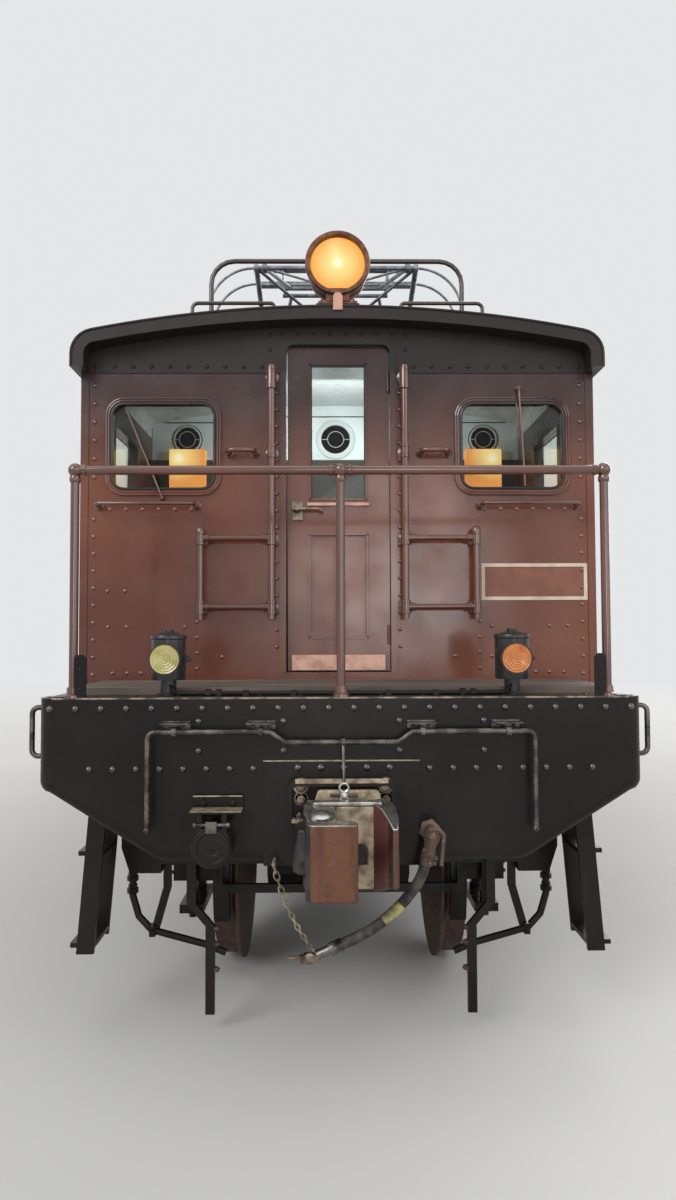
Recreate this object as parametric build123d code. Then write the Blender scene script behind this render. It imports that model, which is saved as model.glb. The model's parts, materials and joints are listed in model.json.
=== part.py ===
from build123d import *
import math
import os

os.makedirs("parts", exist_ok=True)

# Box-cab electric locomotive with a door in each end, on two four-wheel bogies for 1067 mm gauge.
# Millimetres. X runs across, the front end faces -Y, and Z = 0 is the lowest point of the flanges.
# A size named height is taken above the rail top, which is flange_depth above Z = 0.
# A size named x or half is taken from the centre line, and one named y from the middle of the length.
# The rear end is the front end turned half round about the vertical axis.

# Clearances
fit_play = 0.5
moving_gap = 5

# Wheels and axles
flange_depth = 27
flange_width = 32
flange_tip = 12
tread_radius = 535
back_to_back = 990
tyre_width = 125
hub_radius = 150
hub_proud = 12
axle_radius = 80
journal_radius = 62

# Bogies: wheels, side plates, end beams and transom
bogie_centre = 2859
wheelbase = 2450
bogie_reach = 2150
frame_gap = 135
frame_plate = 50
frame_top_height = 860
frame_belly_height = 520
frame_end_height = 692
pedestal_foot_height = 280
pedestal_width = 95
pedestal_taper = 30
beam_depth = 80
stay_depth = 45
stay_half = 63
stay_nut_radius = 20
stay_nut_depth = 30
beam_thick = 70
transom_width = 460
pivot_radius = 180
pivot_depth = 110
king_pin_radius = 60
king_pin_length = 180

# Bogies: axle boxes and leaf springs
box_width = 240
box_length = 215
box_height = 300
box_end_wall = 20
box_cover_radius = 97
box_cover_depth = 25
strap_half = 35
strap_thick = 20
spring_length = 900
spring_width = 90
spring_lift = 46
spring_leaves = 5
spring_leaf = 16
spring_foot = 60
spring_foot_inset = 30

# Bogies: motors
motor_offset = 520
motor_width = 820
motor_size = 620
motor_bevel = 100

# Bogies: brake shoes
shoe_gap = 8
shoe_thick = 50
shoe_spread = 22
hanger_width = 30
hanger_thick = 40
hanger_drop = 60
brake_beam_depth = 40
brake_beam_thick = 25
brake_arm_height = 712

# Bogies: guard irons and sand gear
guard_iron_x = 574
guard_iron_lean = 83
guard_iron_width = 40
guard_iron_bend_height = 526
guard_iron_bend_drop = 98
guard_iron_thick = 25
guard_iron_foot_height = 50
sand_box_x = 860
sand_box_y = 1731
sand_box_width = 190
sand_box_length = 180
sand_box_foot_height = 560
sand_box_top_height = 1000
sand_box_taper = 40
sand_bracket_half = 40
sand_bracket_inset = 20
sand_pipe_radius = 18
sand_strap_thick = 12
sand_strap_width = 40

# Sand pipe and the strap that holds it, each point across and height: the pipe ends before the tread
sand_pipe_route = [(1015, 570), (1015, 430), (985, 330), (922, 262), (658, 191), (558, 150)]
sand_strap_route = [(845, 740), (845, 470), (905, 257)]

# Underframe
sill_height = 1142
deck_height = 1442
floor_thick = 60
sill_inset = 142.5
sill_flange = 90
sill_plate = 18
centre_sill_x = 250
bearer_y = 4300
bearer_width = 120
bolster_width = 420
half_length = 5275
draft_box_half = 200
draft_box_length = 600
draft_box_drop = 100

# End plates
headstock_inset = 77.5
headstock_plate = 20
headstock_foot_height = 757
headstock_foot_x = 757
headstock_shoulder_height = 1069
headstock_corner = 60
headstock_return = 150
headstock_foot_round = 200
headstock_shoulder_round = 60
doubler_half = 320
doubler_height = 1185
doubler_thick = 10
striker_half = 215
striker_foot_height = 912
striker_head_height = 1120
striker_thick = 35
striker_lip = 30
striker_edge = 14
striker_corner = 35
mouth_half = 150
mouth_depth = 230

# End platforms
platform_length = 828
deck_board = 30
deck_front_setback = 195
deck_side_setback = 60
rail_setback = 30
stop_inset = 177
stop_width = 47
stop_thick = 8
stop_head_height = 1621
stop_bevel = 14

# Body
body_half = 1332.5
wall = 60
body_corner = 40
eave_height = 3064
partition_y = 2950
partition_thick = 40
port_radius = 105
port_height = 3060
port_margin = 242.5

# Roof
roof_eave = 27.5
roof_top_height = 3381
roof_radius = 6500
roof_shoulder = 130
roof_thick = 70
roof_overhang = 118
fascia_proud = 6
seat_height = 12

# Doors
door_half = 270
door_foot_height = 1509
door_head_height = 3212
door_thick = 40
door_corner = 40
door_gap = 8
door_end_gap = 6
hinge_gap = 3
hinge_radius = 9
hinge_half = 50
hinge_leaf = 100
hinge_heights = (1700, 3020)
door_glass_half = 143
door_glass_foot_height = 2401
door_glass_head_height = 3114
door_panel_half = 150
door_panel_foot_height = 1685
door_panel_head_height = 2223
door_panel_depth = 12
kick_half = 240
kick_foot_height = 1520
kick_head_height = 1597
kick_proud = 14
latch_x = -215
latch_height = 2350
latch_length = 140
latch_proud = 45
latch_radius = 11
frame_strip = 30
frame_proud = 14

# End windows
window_inner = 635
window_margin = 156.5
window_foot_height = 2452
window_head_height = 2905
window_corner = 72
moulding_width = 30
moulding_proud = 12
glass_thick = 8

# Side windows and louvres, a row each: kind and place along the body
side_openings = [
    ("window", -3700),
    ("louvre", -2250),
    ("window", -1500),
    ("louvre", -750),
    ("window", 0),
    ("louvre", 750),
    ("window", 1500),
    ("louvre", 2250),
    ("window", 3700),
]
side_opening_width = 540
side_opening_foot_height = 2350
side_opening_head_height = 2905
louvre_slats = 9
louvre_edge = 25
louvre_depth = 30
louvre_slat = 6
louvre_rise_share = 0.85

# Front railing
rail_height = 2396
rail_radius = 20
rail_post_radius = 18.5
rail_post_inset = 139
rail_ball_radius = 29

# Pipe ladders beside the door
ladder_x = 341
ladder_outer_x = 702
ladder_foot_height = 1781
ladder_head_height = 3084
ladder_outer_head_height = 2237
ladder_stand_off = 70
ladder_radius = 19
ladder_outer_radius = 17
rung_radius = 15
rung_heights = (1842, 2194)
stay_radius = 14
stay_heights = (2640, 3040)

# Bent bars on the end wall: the long one ends short of the body's corner
wall_bar_margin = 97.5
wall_bar_stand_off = 90

# Grips on the ends of the end plates
grip_out = 57
grip_foot_height = 1191
grip_head_height = 1396
grip_radius = 12
grip_setback = 110

# Side steps
step_inset = 143
step_lean = 87
step_foot_height = 322
step_width = 76
step_thick = 16
step_setback = 215
step_length = 260
step_tread = 20
step_tread_over = 32
step_tread_heights = (345, 740)

# Marker lamps
marker_x = 738
marker_setback = 125
marker_radius = 75
marker_foot_radius = 50
marker_body_height = 1510
marker_cap_height = 1698
marker_top_height = 1725
marker_cap_radius = 45
marker_lens_height = 1600
marker_lens_radius = 61
marker_ring_radius = 70
marker_ring_reach = 100
marker_lens_depth = 12

# Headlights
headlight_height = 3603
headlight_inset = 75
headlight_drum_radius = 150
headlight_back = 150
headlight_front = 40
headlight_ring_radius = 167
headlight_ring_depth = 35
headlight_lens_radius = 141
headlight_lens_thick = 20
headlight_stand_half = 60
headlight_foot_half = 100
headlight_foot_thick = 14

# Number plates
plate_inner = 739
plate_margin = 45.5
plate_foot_height = 1877
plate_head_height = 2067
plate_thick = 6
plate_border = 18
plate_sunk = 3

# Couplers
coupler_height = 880
shank_half = 110
head_top = 150
head_foot = -159
lug_inner = 80
lug_outer = 124
knuckle_half = 143
pin_x = -81
pin_ahead = 330
pin_radius = 38
pin_proud = 18
lug_round = 57
arm_tip_top = 116
arm_tip_foot = -91
throat_ahead = 255
arm_tip_ahead = 425
coupler_slot_x = (20, 100)
coupler_slot_z = (-53, 21)
coupler_slot_depth = 70
coupler_horn_x = (-115, 165)
coupler_horn_ahead = (80, 110)
coupler_horn_top = 200

# Outlines of the coupler in plan, each point across and ahead of the end plate
shank_plan = [(-70, -20), (70, -20), (70, 130), (-70, 130)]
head_plan = [(-70, 80), (90, 80), (165, 170), (150, 255), (-190, 255), (-190, 180)]
lug_plan = [(-190, 250), (-24, 250), (-24, 330), (-138, 330), (-165, 300)]
arm_plan = [(115, 250), (165, 170), (205, 290), (200, 425), (178, 425)]
hub_plan = [(-138, 330), (-24, 330), (-24, 395), (-140, 395)]
nose_plan = [(-140, 392), (35, 392), (52, 402), (52, 462), (40, 475), (-112, 475), (-128, 455)]

# Uncoupling levers
lever_stand_off = 60
lever_radius = 11
lever_height = 1308
lever_dip_height = 1265
lever_dip_x = (230, 290)
lever_reach = 787
lever_grip_height = 912
lever_bracket_x = (330, 680)
lever_bracket_half = 30
lever_bracket_rise = 26

# Jumper sockets
jumper_x = -523
jumper_height = 849
jumper_radius = 75
jumper_depth = 70
jumper_cap_radius = 83
jumper_cap_thick = 18
jumper_shelf_x = (-609, -405)
jumper_shelf_height = 985
jumper_shelf_reach = 95
jumper_shelf_thick = 12
jumper_arm_half = 40
jumper_leg_height = 1041

# Brake hoses: points of the route, across and height, from the cock to the coupling
hose_stand_off = 100
hose_bend_share = 0.45
hose_radius = 22
hose_route = [(347, 840), (326, 750), (268, 661), (176, 570), (88, 511), (0, 474)]
cock_radius = 26
cock_length = 60
coupling_sleeve = 55
coupling_lap = 5
coupling_length = 120
coupling_radius = 20
hook_x = (-105, 20)
hook_z = (-22, 14)
chain_eye_x = -274
chain_eye_height = 786
chain_radius = 7

# Insulators, vents, walkways, guards and grab rails on the roof: a seat is its width and length
insulator_seat = (150, 150)
insulator_x = 450
insulator_y = 560
vent_seat = (620, 620)
vent_y = 800
vent_half = 280
vent_height = 150
vent_lid_half = 310
vent_lid = 25
walk_seat = (300, 60)
walk_x = 990
walk_pitch = 1950
walk_over = 100
walk_board = (90, 28)
walk_gap = 15
guard_seat = (80, 80)
guard_x = 705
guard_inset = 440
guard_height = 3806
guard_radius = 13.5
grab_seat = (60, 60)
grab_x = (330, 755)
grab_inset = 95
grab_rise = 40
grab_radius = 10
lamp_seat = (220, 130)

# Pantographs: base
pantograph_y = 3135
pivot_height = 3720
table_thick = 50
table_drop = 75
table_half_width = 30
table_reach = 600
cross_half = 25
insulator_radius = 62
insulator_core = 37
insulator_sheds = 3
shed_taper = 20
bearing_x = 420
bearing_half = 15
bearing_reach = 35

# Pantographs: linkage
pivot_spread = 100
shaft_radius = 25
shaft_over = 20
lower_arm = 660
lower_angle = 14
upper_arm = 700
head_spread = 60
knee_half = 474
knee_radius = 14
knee_over = 15
eye_inset = 50
eye_half = 15
eye_radius = 26
lower_tube = 17
lower_brace = 10
upper_tube = 13
upper_brace = 8

# Pantographs: collector head
head_plate_x = 350
head_plate_thick = 12
head_plate_over = 25
head_plate_drop = 40
strip_half = 545
strip_spread = 125
strip_width = 60
strip_thick = 30
strip_rise = 120
horn_reach = 850
horn_drop = 250
horn_thick = 18
horn_width = 24

# Inside and under the floor
desk_gap = 72.5
desk_inner = 420
desk_length = 420
desk_height = 780
gauge_inset = 40
gauge_width = 280
gauge_thick = 60
gauge_height = 220
equipment_half = 520
equipment_reach = 2400
equipment_height = 1150
tank_x = 350
tank_height = 870
tank_radius = 200
tank_half = 520
tank_strap_y = 350
tank_strap = (60, 40)
battery_inset = 20
battery_width = 450
battery_reach = 560
battery_foot_height = 640

# Flats that stand for a round section on thin pipes and on insulators
pipe_sides = 8
insulator_sides = 12
flat_share = math.cos(math.pi / pipe_sides)

# Values worked out from the sizes above
BASE = (Align.CENTER, Align.CENTER, Align.MIN)
axle_z = flange_depth + tread_radius
axle_y = wheelbase / 2
wheel_back = back_to_back / 2
wheel_face = wheel_back + tyre_width
frame_x = wheel_face + frame_gap
box_outer = frame_x + frame_plate / 2 + box_length / 2
journal_end = box_outer - box_end_wall - moving_gap
wall_inner = body_half - wall
body_end = half_length - platform_length
end_inner = body_end - wall
roof_end = body_end + roof_overhang
headlight_y = roof_end - headlight_inset
guard_y = roof_end - guard_inset
grab_y = roof_end - grab_inset
headstock_half = body_half - headstock_inset
roof_half = body_half + roof_eave
sill_x = body_half - sill_inset
window_outer = body_half - window_margin
rail_post_x = headstock_half - rail_post_inset
step_x = headstock_half - step_inset
port_x = wall_inner - port_margin
walk_half = 2 * walk_pitch + walk_over
insulator_places = [(x, y) for x in (-insulator_x, insulator_x) for y in (-insulator_y, insulator_y)]
walk_places = [(x, walk_pitch * step) for x in (-walk_x, walk_x) for step in (-2, -1, 0, 1, 2)]

# Bent bars on the end wall, a row each: inner x, outer x, height, radius
wall_bars = [
    (430, 565, 2643, 14),
    (735, body_half - wall_bar_margin, 2370, 10),
]


def level(height):
    """Z of a height given above the rail top."""
    return flange_depth + height


def levels(low, high):
    """Z of a pair of heights given above the rail top."""
    return level(low), level(high)


def block(x, y, z):
    """Box from three pairs of limits, in either order."""
    centre = [sum(pair) / 2 for pair in (x, y, z)]
    return Pos(*centre) * Box(*[abs(pair[1] - pair[0]) for pair in (x, y, z)])


def rod(start, end, radius):
    """Round bar from one point to another."""
    run = Vector(*end) - Vector(*start)
    return Plane(origin=start, z_dir=run) * Cylinder(radius, run.length, align=BASE)


def pipe(start, end, radius):
    """Thin pipe or brace from one point to another, with flats for a round section."""
    run = Vector(*end) - Vector(*start)
    section = RegularPolygon(radius, pipe_sides, rotation=180 / pipe_sides)
    return extrude(Plane(origin=start, z_dir=run) * section, amount=run.length)


def bent_pipe(points, radius):
    """Thin pipe along straight runs with mitred bends."""
    route = Polyline(*points)
    section = Plane(origin=points[0], z_dir=route % 0) * RegularPolygon(radius, pipe_sides)
    return sweep(section, path=route, transition=Transition.RIGHT)


def outline(points):
    """Flat face inside a closed run of straight lines."""
    return make_face(Polyline(*points, close=True))


def bar_face(middle, half):
    """Flat face of a cranked bar, from the points of its middle line and half its width."""
    return outline([(x + half, z) for x, z in middle] + [(x - half, z) for x, z in reversed(middle)])


def rounded_pane(x, z, radius):
    """Face of a rectangle with rounded corners, drawn in two pairs of limits."""
    pane = RectangleRounded(abs(x[1] - x[0]), abs(z[1] - z[0]), radius)
    return Pos(sum(x) / 2, sum(z) / 2) * pane


def across(face, low, high):
    """Profile drawn in Y and Z, carried along X."""
    return extrude(Plane.YZ.offset(low) * face, amount=high - low)


def along(face, low, high):
    """Profile drawn in X and Z, carried along Y."""
    return extrude(Plane.XZ.offset(-high) * face, amount=high - low)


def upward(face, low, high):
    """Profile drawn in X and Y, carried up."""
    return extrude(Plane.XY.offset(low) * face, amount=high - low)


def fused(shapes):
    """One shape from several that touch or overlap."""
    first, *rest = shapes
    return first + rest if rest else first


def other_side(shape):
    """The same piece on the other side of the centre line."""
    return mirror(shape, about=Plane.YZ)


def both_sides(shapes):
    """Pieces and their mirror images across the centre line."""
    return list(shapes) + [other_side(shape) for shape in shapes]


def half_turn(shape):
    """The same piece at the rear end."""
    return Rot(0, 0, 180) * shape


def save(node, shapes):
    """Write one sub-part, each solid by itself."""
    solids = [solid for shape in shapes for solid in shape.solids()]
    export_step(Compound(solids), f"parts/{node}.step")


def save_ends(node, shapes):
    """Write a sub-part that both ends of the locomotive have."""
    save(node, list(shapes) + [half_turn(shape) for shape in shapes])


def roof_face(inset, foot):
    """Section of the roof, pulled in on all sides but the foot."""
    half = roof_half - inset
    radius = roof_radius - inset
    top = level(roof_top_height) - inset
    side = top - radius + math.sqrt(radius**2 - half**2)
    face = make_face(
        Curve()
        + ThreePointArc((-half, side), (0, top), (half, side))
        + Polyline((half, side), (half, foot), (-half, foot), (-half, side))
    )
    shoulders = face.vertices().sort_by(Axis.Y)[-2:]
    return fillet(shoulders, roof_shoulder - inset)


def roof_surface(x):
    """Z of the roof's top at a distance from the centre line."""
    return level(roof_top_height) - roof_radius + math.sqrt(roof_radius**2 - x**2)


def seat_top(x, seat):
    """Z of a flat roof seat, a little above the highest roof point under it."""
    near = max(0, abs(x) - seat[0] / 2)
    return roof_surface(near) + seat_height


def roof_seat(x, y, seat):
    """Flat seat, sunk into the roof sheet."""
    width, length = seat
    low = roof_surface(abs(x) + width / 2) - roof_thick / 3
    top = seat_top(x, seat)
    return block((x - width / 2, x + width / 2), (y - length / 2, y + length / 2), (low, top))


def make_wheelset():
    """Axle and both wheels, turned in one piece about the X axis."""
    tip_radius = tread_radius + flange_depth
    half = [
        (wheel_back, axle_radius),
        (wheel_back, tip_radius),
        (wheel_back + flange_tip, tip_radius),
        (wheel_back + flange_width, tread_radius),
        (wheel_face, tread_radius),
        (wheel_face, hub_radius),
        (wheel_face + hub_proud, hub_radius),
        (wheel_face + hub_proud, journal_radius),
        (journal_end, journal_radius),
        (journal_end, 0),
    ]
    profile = [(-x, radius) for x, radius in reversed(half)] + half
    return Pos(0, 0, axle_z) * revolve(outline(profile), Axis.X)


def make_side_frame():
    """One plate side of a bogie, with a gap for each axle box."""
    gap = box_width / 2 + moving_gap
    horn = gap + pedestal_width
    end = level(frame_end_height)
    foot = level(pedestal_foot_height)
    roof = axle_z + box_height / 2 + moving_gap
    half = [
        (bogie_reach, end + beam_depth),
        (bogie_reach, end),
        (axle_y + horn, end),
        (axle_y + horn - pedestal_taper, foot),
        (axle_y + gap, foot),
        (axle_y + gap, roof),
        (axle_y - gap, roof),
        (axle_y - gap, foot),
        (axle_y - horn + pedestal_taper, foot),
        (axle_y - horn, level(frame_belly_height)),
    ]
    top = level(frame_top_height)
    crown = [(-axle_y - horn, top), (axle_y + horn, top)]
    other_half = [(-y, z) for y, z in reversed(half)]
    return across(outline(crown + half + other_half), frame_x, frame_x + frame_plate)


def make_guard_iron():
    """Bar that hangs before a wheel, bent in and down to just above the rail."""
    top = level(frame_end_height) + beam_depth
    bend = level(guard_iron_bend_height)
    foot = level(guard_iron_foot_height)
    middle = [
        (guard_iron_x + guard_iron_lean, top),
        (guard_iron_x + guard_iron_lean, bend),
        (guard_iron_x, bend - guard_iron_bend_drop),
        (guard_iron_x, foot),
    ]
    face = bar_face(middle, guard_iron_width / 2)
    return along(face, -bogie_reach - guard_iron_thick, -bogie_reach)


def make_horn_stay():
    """Keep plate across the foot of one axle-box gap, with a nut under each end."""
    half = box_width / 2 + moving_gap + pedestal_width - pedestal_taper
    middle = frame_x + frame_plate / 2
    foot = level(pedestal_foot_height)
    low = foot - stay_depth
    pieces = [block((middle - stay_half, middle + stay_half), (axle_y - half, axle_y + half), (low, foot))]
    for y in (axle_y - half + pedestal_width / 2, axle_y + half - pedestal_width / 2):
        pieces.append(pipe((middle, y, low), (middle, y, low - stay_nut_depth), stay_nut_radius))
    return fused(pieces)


def make_bogie_frame():
    """Side plates, end beams, transom with its pivot bowl, and the guard irons."""
    side = make_side_frame()
    low = level(frame_end_height)
    belly = level(frame_belly_height)
    top = level(frame_top_height)
    bowl_top = level(sill_height) - pivot_depth
    beam_y = (-bogie_reach, beam_thick - bogie_reach)
    beam = block((-frame_x, frame_x), beam_y, (low, low + beam_depth))
    transom_y = (-transom_width / 2, transom_width / 2)
    transom = block((-frame_x, frame_x), transom_y, (belly, top))
    bowl = rod((0, 0, top), (0, 0, bowl_top), pivot_radius)
    stay = make_horn_stay()
    pieces = [transom, beam, mirror(beam, about=Plane.XZ), bowl]
    pieces += both_sides([side, make_guard_iron(), stay, mirror(stay, about=Plane.XZ)])
    bore = rod((0, 0, belly), (0, 0, bowl_top), king_pin_radius + fit_play)
    return fused(pieces) - bore


def make_spring(y):
    """Leaf spring across the top of a side plate, with a foot at each end."""
    base = level(frame_top_height)
    half = spring_length / 2
    middle = frame_x + frame_plate / 2
    x = (middle - spring_width / 2, middle + spring_width / 2)
    pieces = []
    for number in range(spring_leaves):
        reach = half * (1 - number / (spring_leaves + 1))
        low = base + spring_lift + number * spring_leaf
        pieces.append(block(x, (y - reach, y + reach), (low, low + spring_leaf)))
    for foot_y in (y - half + spring_foot_inset, y + half - spring_foot_inset):
        foot = (foot_y - spring_foot / 2, foot_y + spring_foot / 2)
        pieces.append(block((frame_x, frame_x + frame_plate), foot, (base, base + spring_lift)))
    return pieces


def make_running_gear():
    """Axle boxes, each with its straps and the leaf spring above the side plate."""
    loose = []
    inner = box_outer - box_length
    half = box_width / 2
    low = axle_z - box_height / 2
    high = axle_z + box_height / 2
    strap_top = level(frame_top_height) + spring_lift + spring_leaves * spring_leaf + strap_thick
    strap_x = (frame_x - strap_thick, frame_x + frame_plate + strap_thick)
    for y in (-axle_y, axle_y):
        strap_y = (y - strap_half, y + strap_half)
        spring_top = strap_top - strap_thick
        straps = [
            block((strap_x[0], frame_x), strap_y, (high, spring_top)),
            block((frame_x + frame_plate, strap_x[1]), strap_y, (high, spring_top)),
        ]
        cap = block(strap_x, strap_y, (spring_top, strap_top))
        box = block((inner, box_outer), (y - half, y + half), (low, high))
        cover = pipe((box_outer, y, axle_z), (box_outer + box_cover_depth, y, axle_z), box_cover_radius)
        bore = rod((inner - 1, y, axle_z), (box_outer - box_end_wall, y, axle_z), journal_radius + fit_play)
        spring = fused(make_spring(y))
        for strap in straps:
            spring -= strap
        loose += straps + [cap, fused([box, cover]) - bore, spring]
    return both_sides(loose)


def make_brake_shoe():
    """Face of a brake shoe in Y and Z about the axle, beyond the wheel."""
    inner = tread_radius + shoe_gap
    outer = inner + shoe_thick
    turns = [math.radians(turn) for turn in (-shoe_spread, 0, shoe_spread)]
    near = [(inner * math.cos(turn), inner * math.sin(turn)) for turn in turns]
    far = [(outer * math.cos(turn), outer * math.sin(turn)) for turn in turns]
    edge = Curve() + ThreePointArc(*near) + Line(near[2], far[2])
    edge += ThreePointArc(*reversed(far)) + Line(far[0], near[0])
    return make_face(edge)


def make_brake_gear():
    """Brake shoes outside each axle, with their hangers, arms and cross beam."""
    x = (wheel_back + flange_width + shoe_gap, wheel_face - shoe_gap)
    middle = sum(x) / 2
    y = axle_y + tread_radius + shoe_gap + shoe_thick
    hanger_x = (middle - hanger_width / 2, middle + hanger_width / 2)
    low = axle_z - hanger_drop
    arm = level(brake_arm_height)
    shoe = Pos(0, axle_y, axle_z) * across(make_brake_shoe(), *x)
    hanger_y = (y - hanger_thick / 4, y + hanger_thick)
    hanger = block(hanger_x, hanger_y, (low, arm + brake_beam_depth))
    carrier = block(hanger_x, (y, bogie_reach - beam_thick), (arm, arm + brake_beam_depth))
    beam_y = (y + hanger_thick - brake_beam_thick, y + hanger_thick)
    beam = block((-middle, middle), beam_y, (low, low + brake_beam_depth))
    whole = fused([beam] + both_sides([fused([shoe, hanger, carrier])]))
    return [whole, mirror(whole, about=Plane.XZ)]


def make_sand_gear():
    """Sand boxes outside the frame at the leading corners, with their pipes to the rail."""
    y = -sand_box_y
    top = level(sand_box_top_height)
    foot = level(sand_box_foot_height)
    outer = sand_box_x + sand_box_width
    waist = foot + 3 * sand_box_taper
    face = outline(
        [
            (sand_box_x, top),
            (outer, top),
            (outer, waist),
            (outer - sand_box_taper, foot),
            (sand_box_x, foot),
        ]
    )
    box = along(face, y - sand_box_length / 2, y + sand_box_length / 2)
    bracket_x = (frame_x + frame_plate, sand_box_x)
    bracket_y = (y - sand_bracket_half, y + sand_bracket_half)
    bracket_low = level(frame_end_height) + sand_bracket_inset
    bracket_high = level(frame_end_height) + beam_depth - sand_bracket_inset
    bracket = block(bracket_x, bracket_y, (bracket_low, bracket_high))
    route = [(x, y, level(height)) for x, height in sand_pipe_route]
    strap_line = [(x, level(height)) for x, height in sand_strap_route]
    strap_y = (y - sand_strap_thick / 2, y + sand_strap_thick / 2)
    strap = along(bar_face(strap_line, sand_strap_width / 2), *strap_y)
    return both_sides([fused([box, bracket, strap, bent_pipe(route, sand_pipe_radius)])])


def make_motors():
    """Two motors hung between the axles and the transom."""
    motors = []
    half = motor_size / 2
    for side in (-1, 1):
        y = side * (axle_y - motor_offset)
        width = (-motor_width / 2, motor_width / 2)
        body = block(width, (y - half, y + half), (axle_z - half, axle_z + half))
        motors.append(chamfer(body.edges().filter_by(Axis.X), motor_bevel))
    return motors


def save_bogie(end):
    """Write the four sub-parts of one bogie."""
    place = Pos(0, -bogie_centre, 0)
    nodes = {
        "frame": [make_bogie_frame()],
        "running_gear": make_running_gear(),
        "brake_gear": make_brake_gear() + make_sand_gear(),
        "motors": make_motors(),
    }
    for name, shapes in nodes.items():
        placed = [place * shape for shape in shapes]
        if end == "rear":
            placed = [half_turn(shape) for shape in placed]
        save(f"bogie_{name}_{end}", placed)


def make_floor():
    """Floor of the body and the two end platforms, with their corners cut off."""
    top = level(deck_height)
    under = top - floor_thick
    platform_half = headstock_half - headstock_plate
    reach = half_length - headstock_plate
    floors = [block((-body_half, body_half), (-body_end, body_end), (under, top))]
    for side in (-1, 1):
        platform = block((-platform_half, platform_half), (side * body_end, side * reach), (under, top))
        corners = platform.edges().filter_by(Axis.Z).group_by(Axis.Y)[0 if side < 0 else -1]
        floors.append(chamfer(corners, headstock_corner))
    return floors


def make_sills():
    """Side sills of channel section, centre sills, and the cross bearers between them."""
    under = level(deck_height) - floor_thick
    low = level(sill_height)
    reach = half_length - headstock_plate
    inner = sill_x - sill_flange
    channel = outline(
        [
            (inner, low),
            (sill_x, low),
            (sill_x, low + sill_plate),
            (inner + sill_plate, low + sill_plate),
            (inner + sill_plate, under),
            (inner, under),
        ]
    )
    near = centre_sill_x - sill_flange
    centre = block((near, centre_sill_x), (-reach, reach), (low, under))
    members = both_sides([along(channel, -reach, reach), centre])
    bearers = [(-bearer_y, bearer_width), (-bogie_centre, bolster_width), (0, bearer_width)]
    bearers += [(bogie_centre, bolster_width), (bearer_y, bearer_width)]
    for y, width in bearers:
        bearer_span = (y - width / 2, y + width / 2)
        members.append(block((-near, near), bearer_span, (low, under)))
        members += both_sides([block((centre_sill_x, inner), bearer_span, (low, under))])
    return members


def make_drawgear():
    """Box behind each coupler, and the pivot plate and king pin above each bogie."""
    low = level(sill_height)
    reach = half_length - headstock_plate
    box_y = (-reach, draft_box_length - reach)
    box_z = (level(coupler_height) - draft_box_drop, low)
    plate_low = low - pivot_depth + fit_play
    y = -bogie_centre
    return [
        block((-draft_box_half, draft_box_half), box_y, box_z),
        rod((0, y, plate_low), (0, y, low), pivot_radius - moving_gap),
        rod((0, y, plate_low - king_pin_length), (0, y, plate_low), king_pin_radius),
    ]


def make_striker():
    """Plate round the mouth of the coupler with a raised rim, and the place of the rim's front."""
    face_y = -half_length - doubler_thick - striker_thick
    rim_y = face_y - striker_lip
    low, high = levels(striker_foot_height, striker_head_height)
    face = rounded_pane((-striker_half, striker_half), (low, high), striker_corner)
    inner_half = striker_half - striker_edge
    inner_z = (low + striker_edge, high - striker_lip)
    inner = rounded_pane((-inner_half, inner_half), inner_z, striker_corner - striker_edge)
    return fused([along(face, face_y, -half_length), along(face - inner, rim_y, face_y)]), rim_y


def make_headstock():
    """End plate with swept-up lower corners, turned back round the sides, and its striker."""
    top = level(deck_height)
    foot = level(headstock_foot_height)
    shoulder = level(headstock_shoulder_height)
    right = [(headstock_half, top), (headstock_half, shoulder), (headstock_foot_x, foot)]
    face = outline(right + [(-x, z) for x, z in reversed(right)])
    feet = [corner for corner in face.vertices() if abs(corner.Y - foot) < 1]
    face = fillet(feet, headstock_foot_round)
    shoulders = [corner for corner in face.vertices() if abs(corner.Y - shoulder) < 1]
    face = fillet(shoulders, headstock_shoulder_round)
    front = -half_length
    outer = along(face, front, front + headstock_return)
    outer = fillet(outer.edges().filter_by(Axis.Z).group_by(Axis.Y)[0], headstock_corner)
    inner_half = headstock_half - headstock_plate
    hollow = block((-inner_half, inner_half), (front + headstock_plate, 0), (foot - 1, top + 1))
    hollow = fillet(hollow.edges().filter_by(Axis.Z).group_by(Axis.Y)[0], headstock_corner - headstock_plate)
    doubler_z = (foot, level(doubler_height))
    doubler = block((-doubler_half, doubler_half), (front - doubler_thick, front), doubler_z)
    striker, rim_y = make_striker()
    mouth_z = (level(coupler_height) - mouth_depth / 2, level(coupler_height) + mouth_depth / 2)
    mouth = block((-mouth_half, mouth_half), (rim_y - 1, front + headstock_plate + 1), mouth_z)
    return fused([outer - hollow, doubler, striker]) - mouth


def make_end_deck():
    """Raised tread boards of the end platform."""
    half = headstock_half - deck_side_setback
    top = level(deck_height)
    return block((-half, half), (deck_front_setback - half_length, -body_end), (top, top + deck_board))


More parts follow.
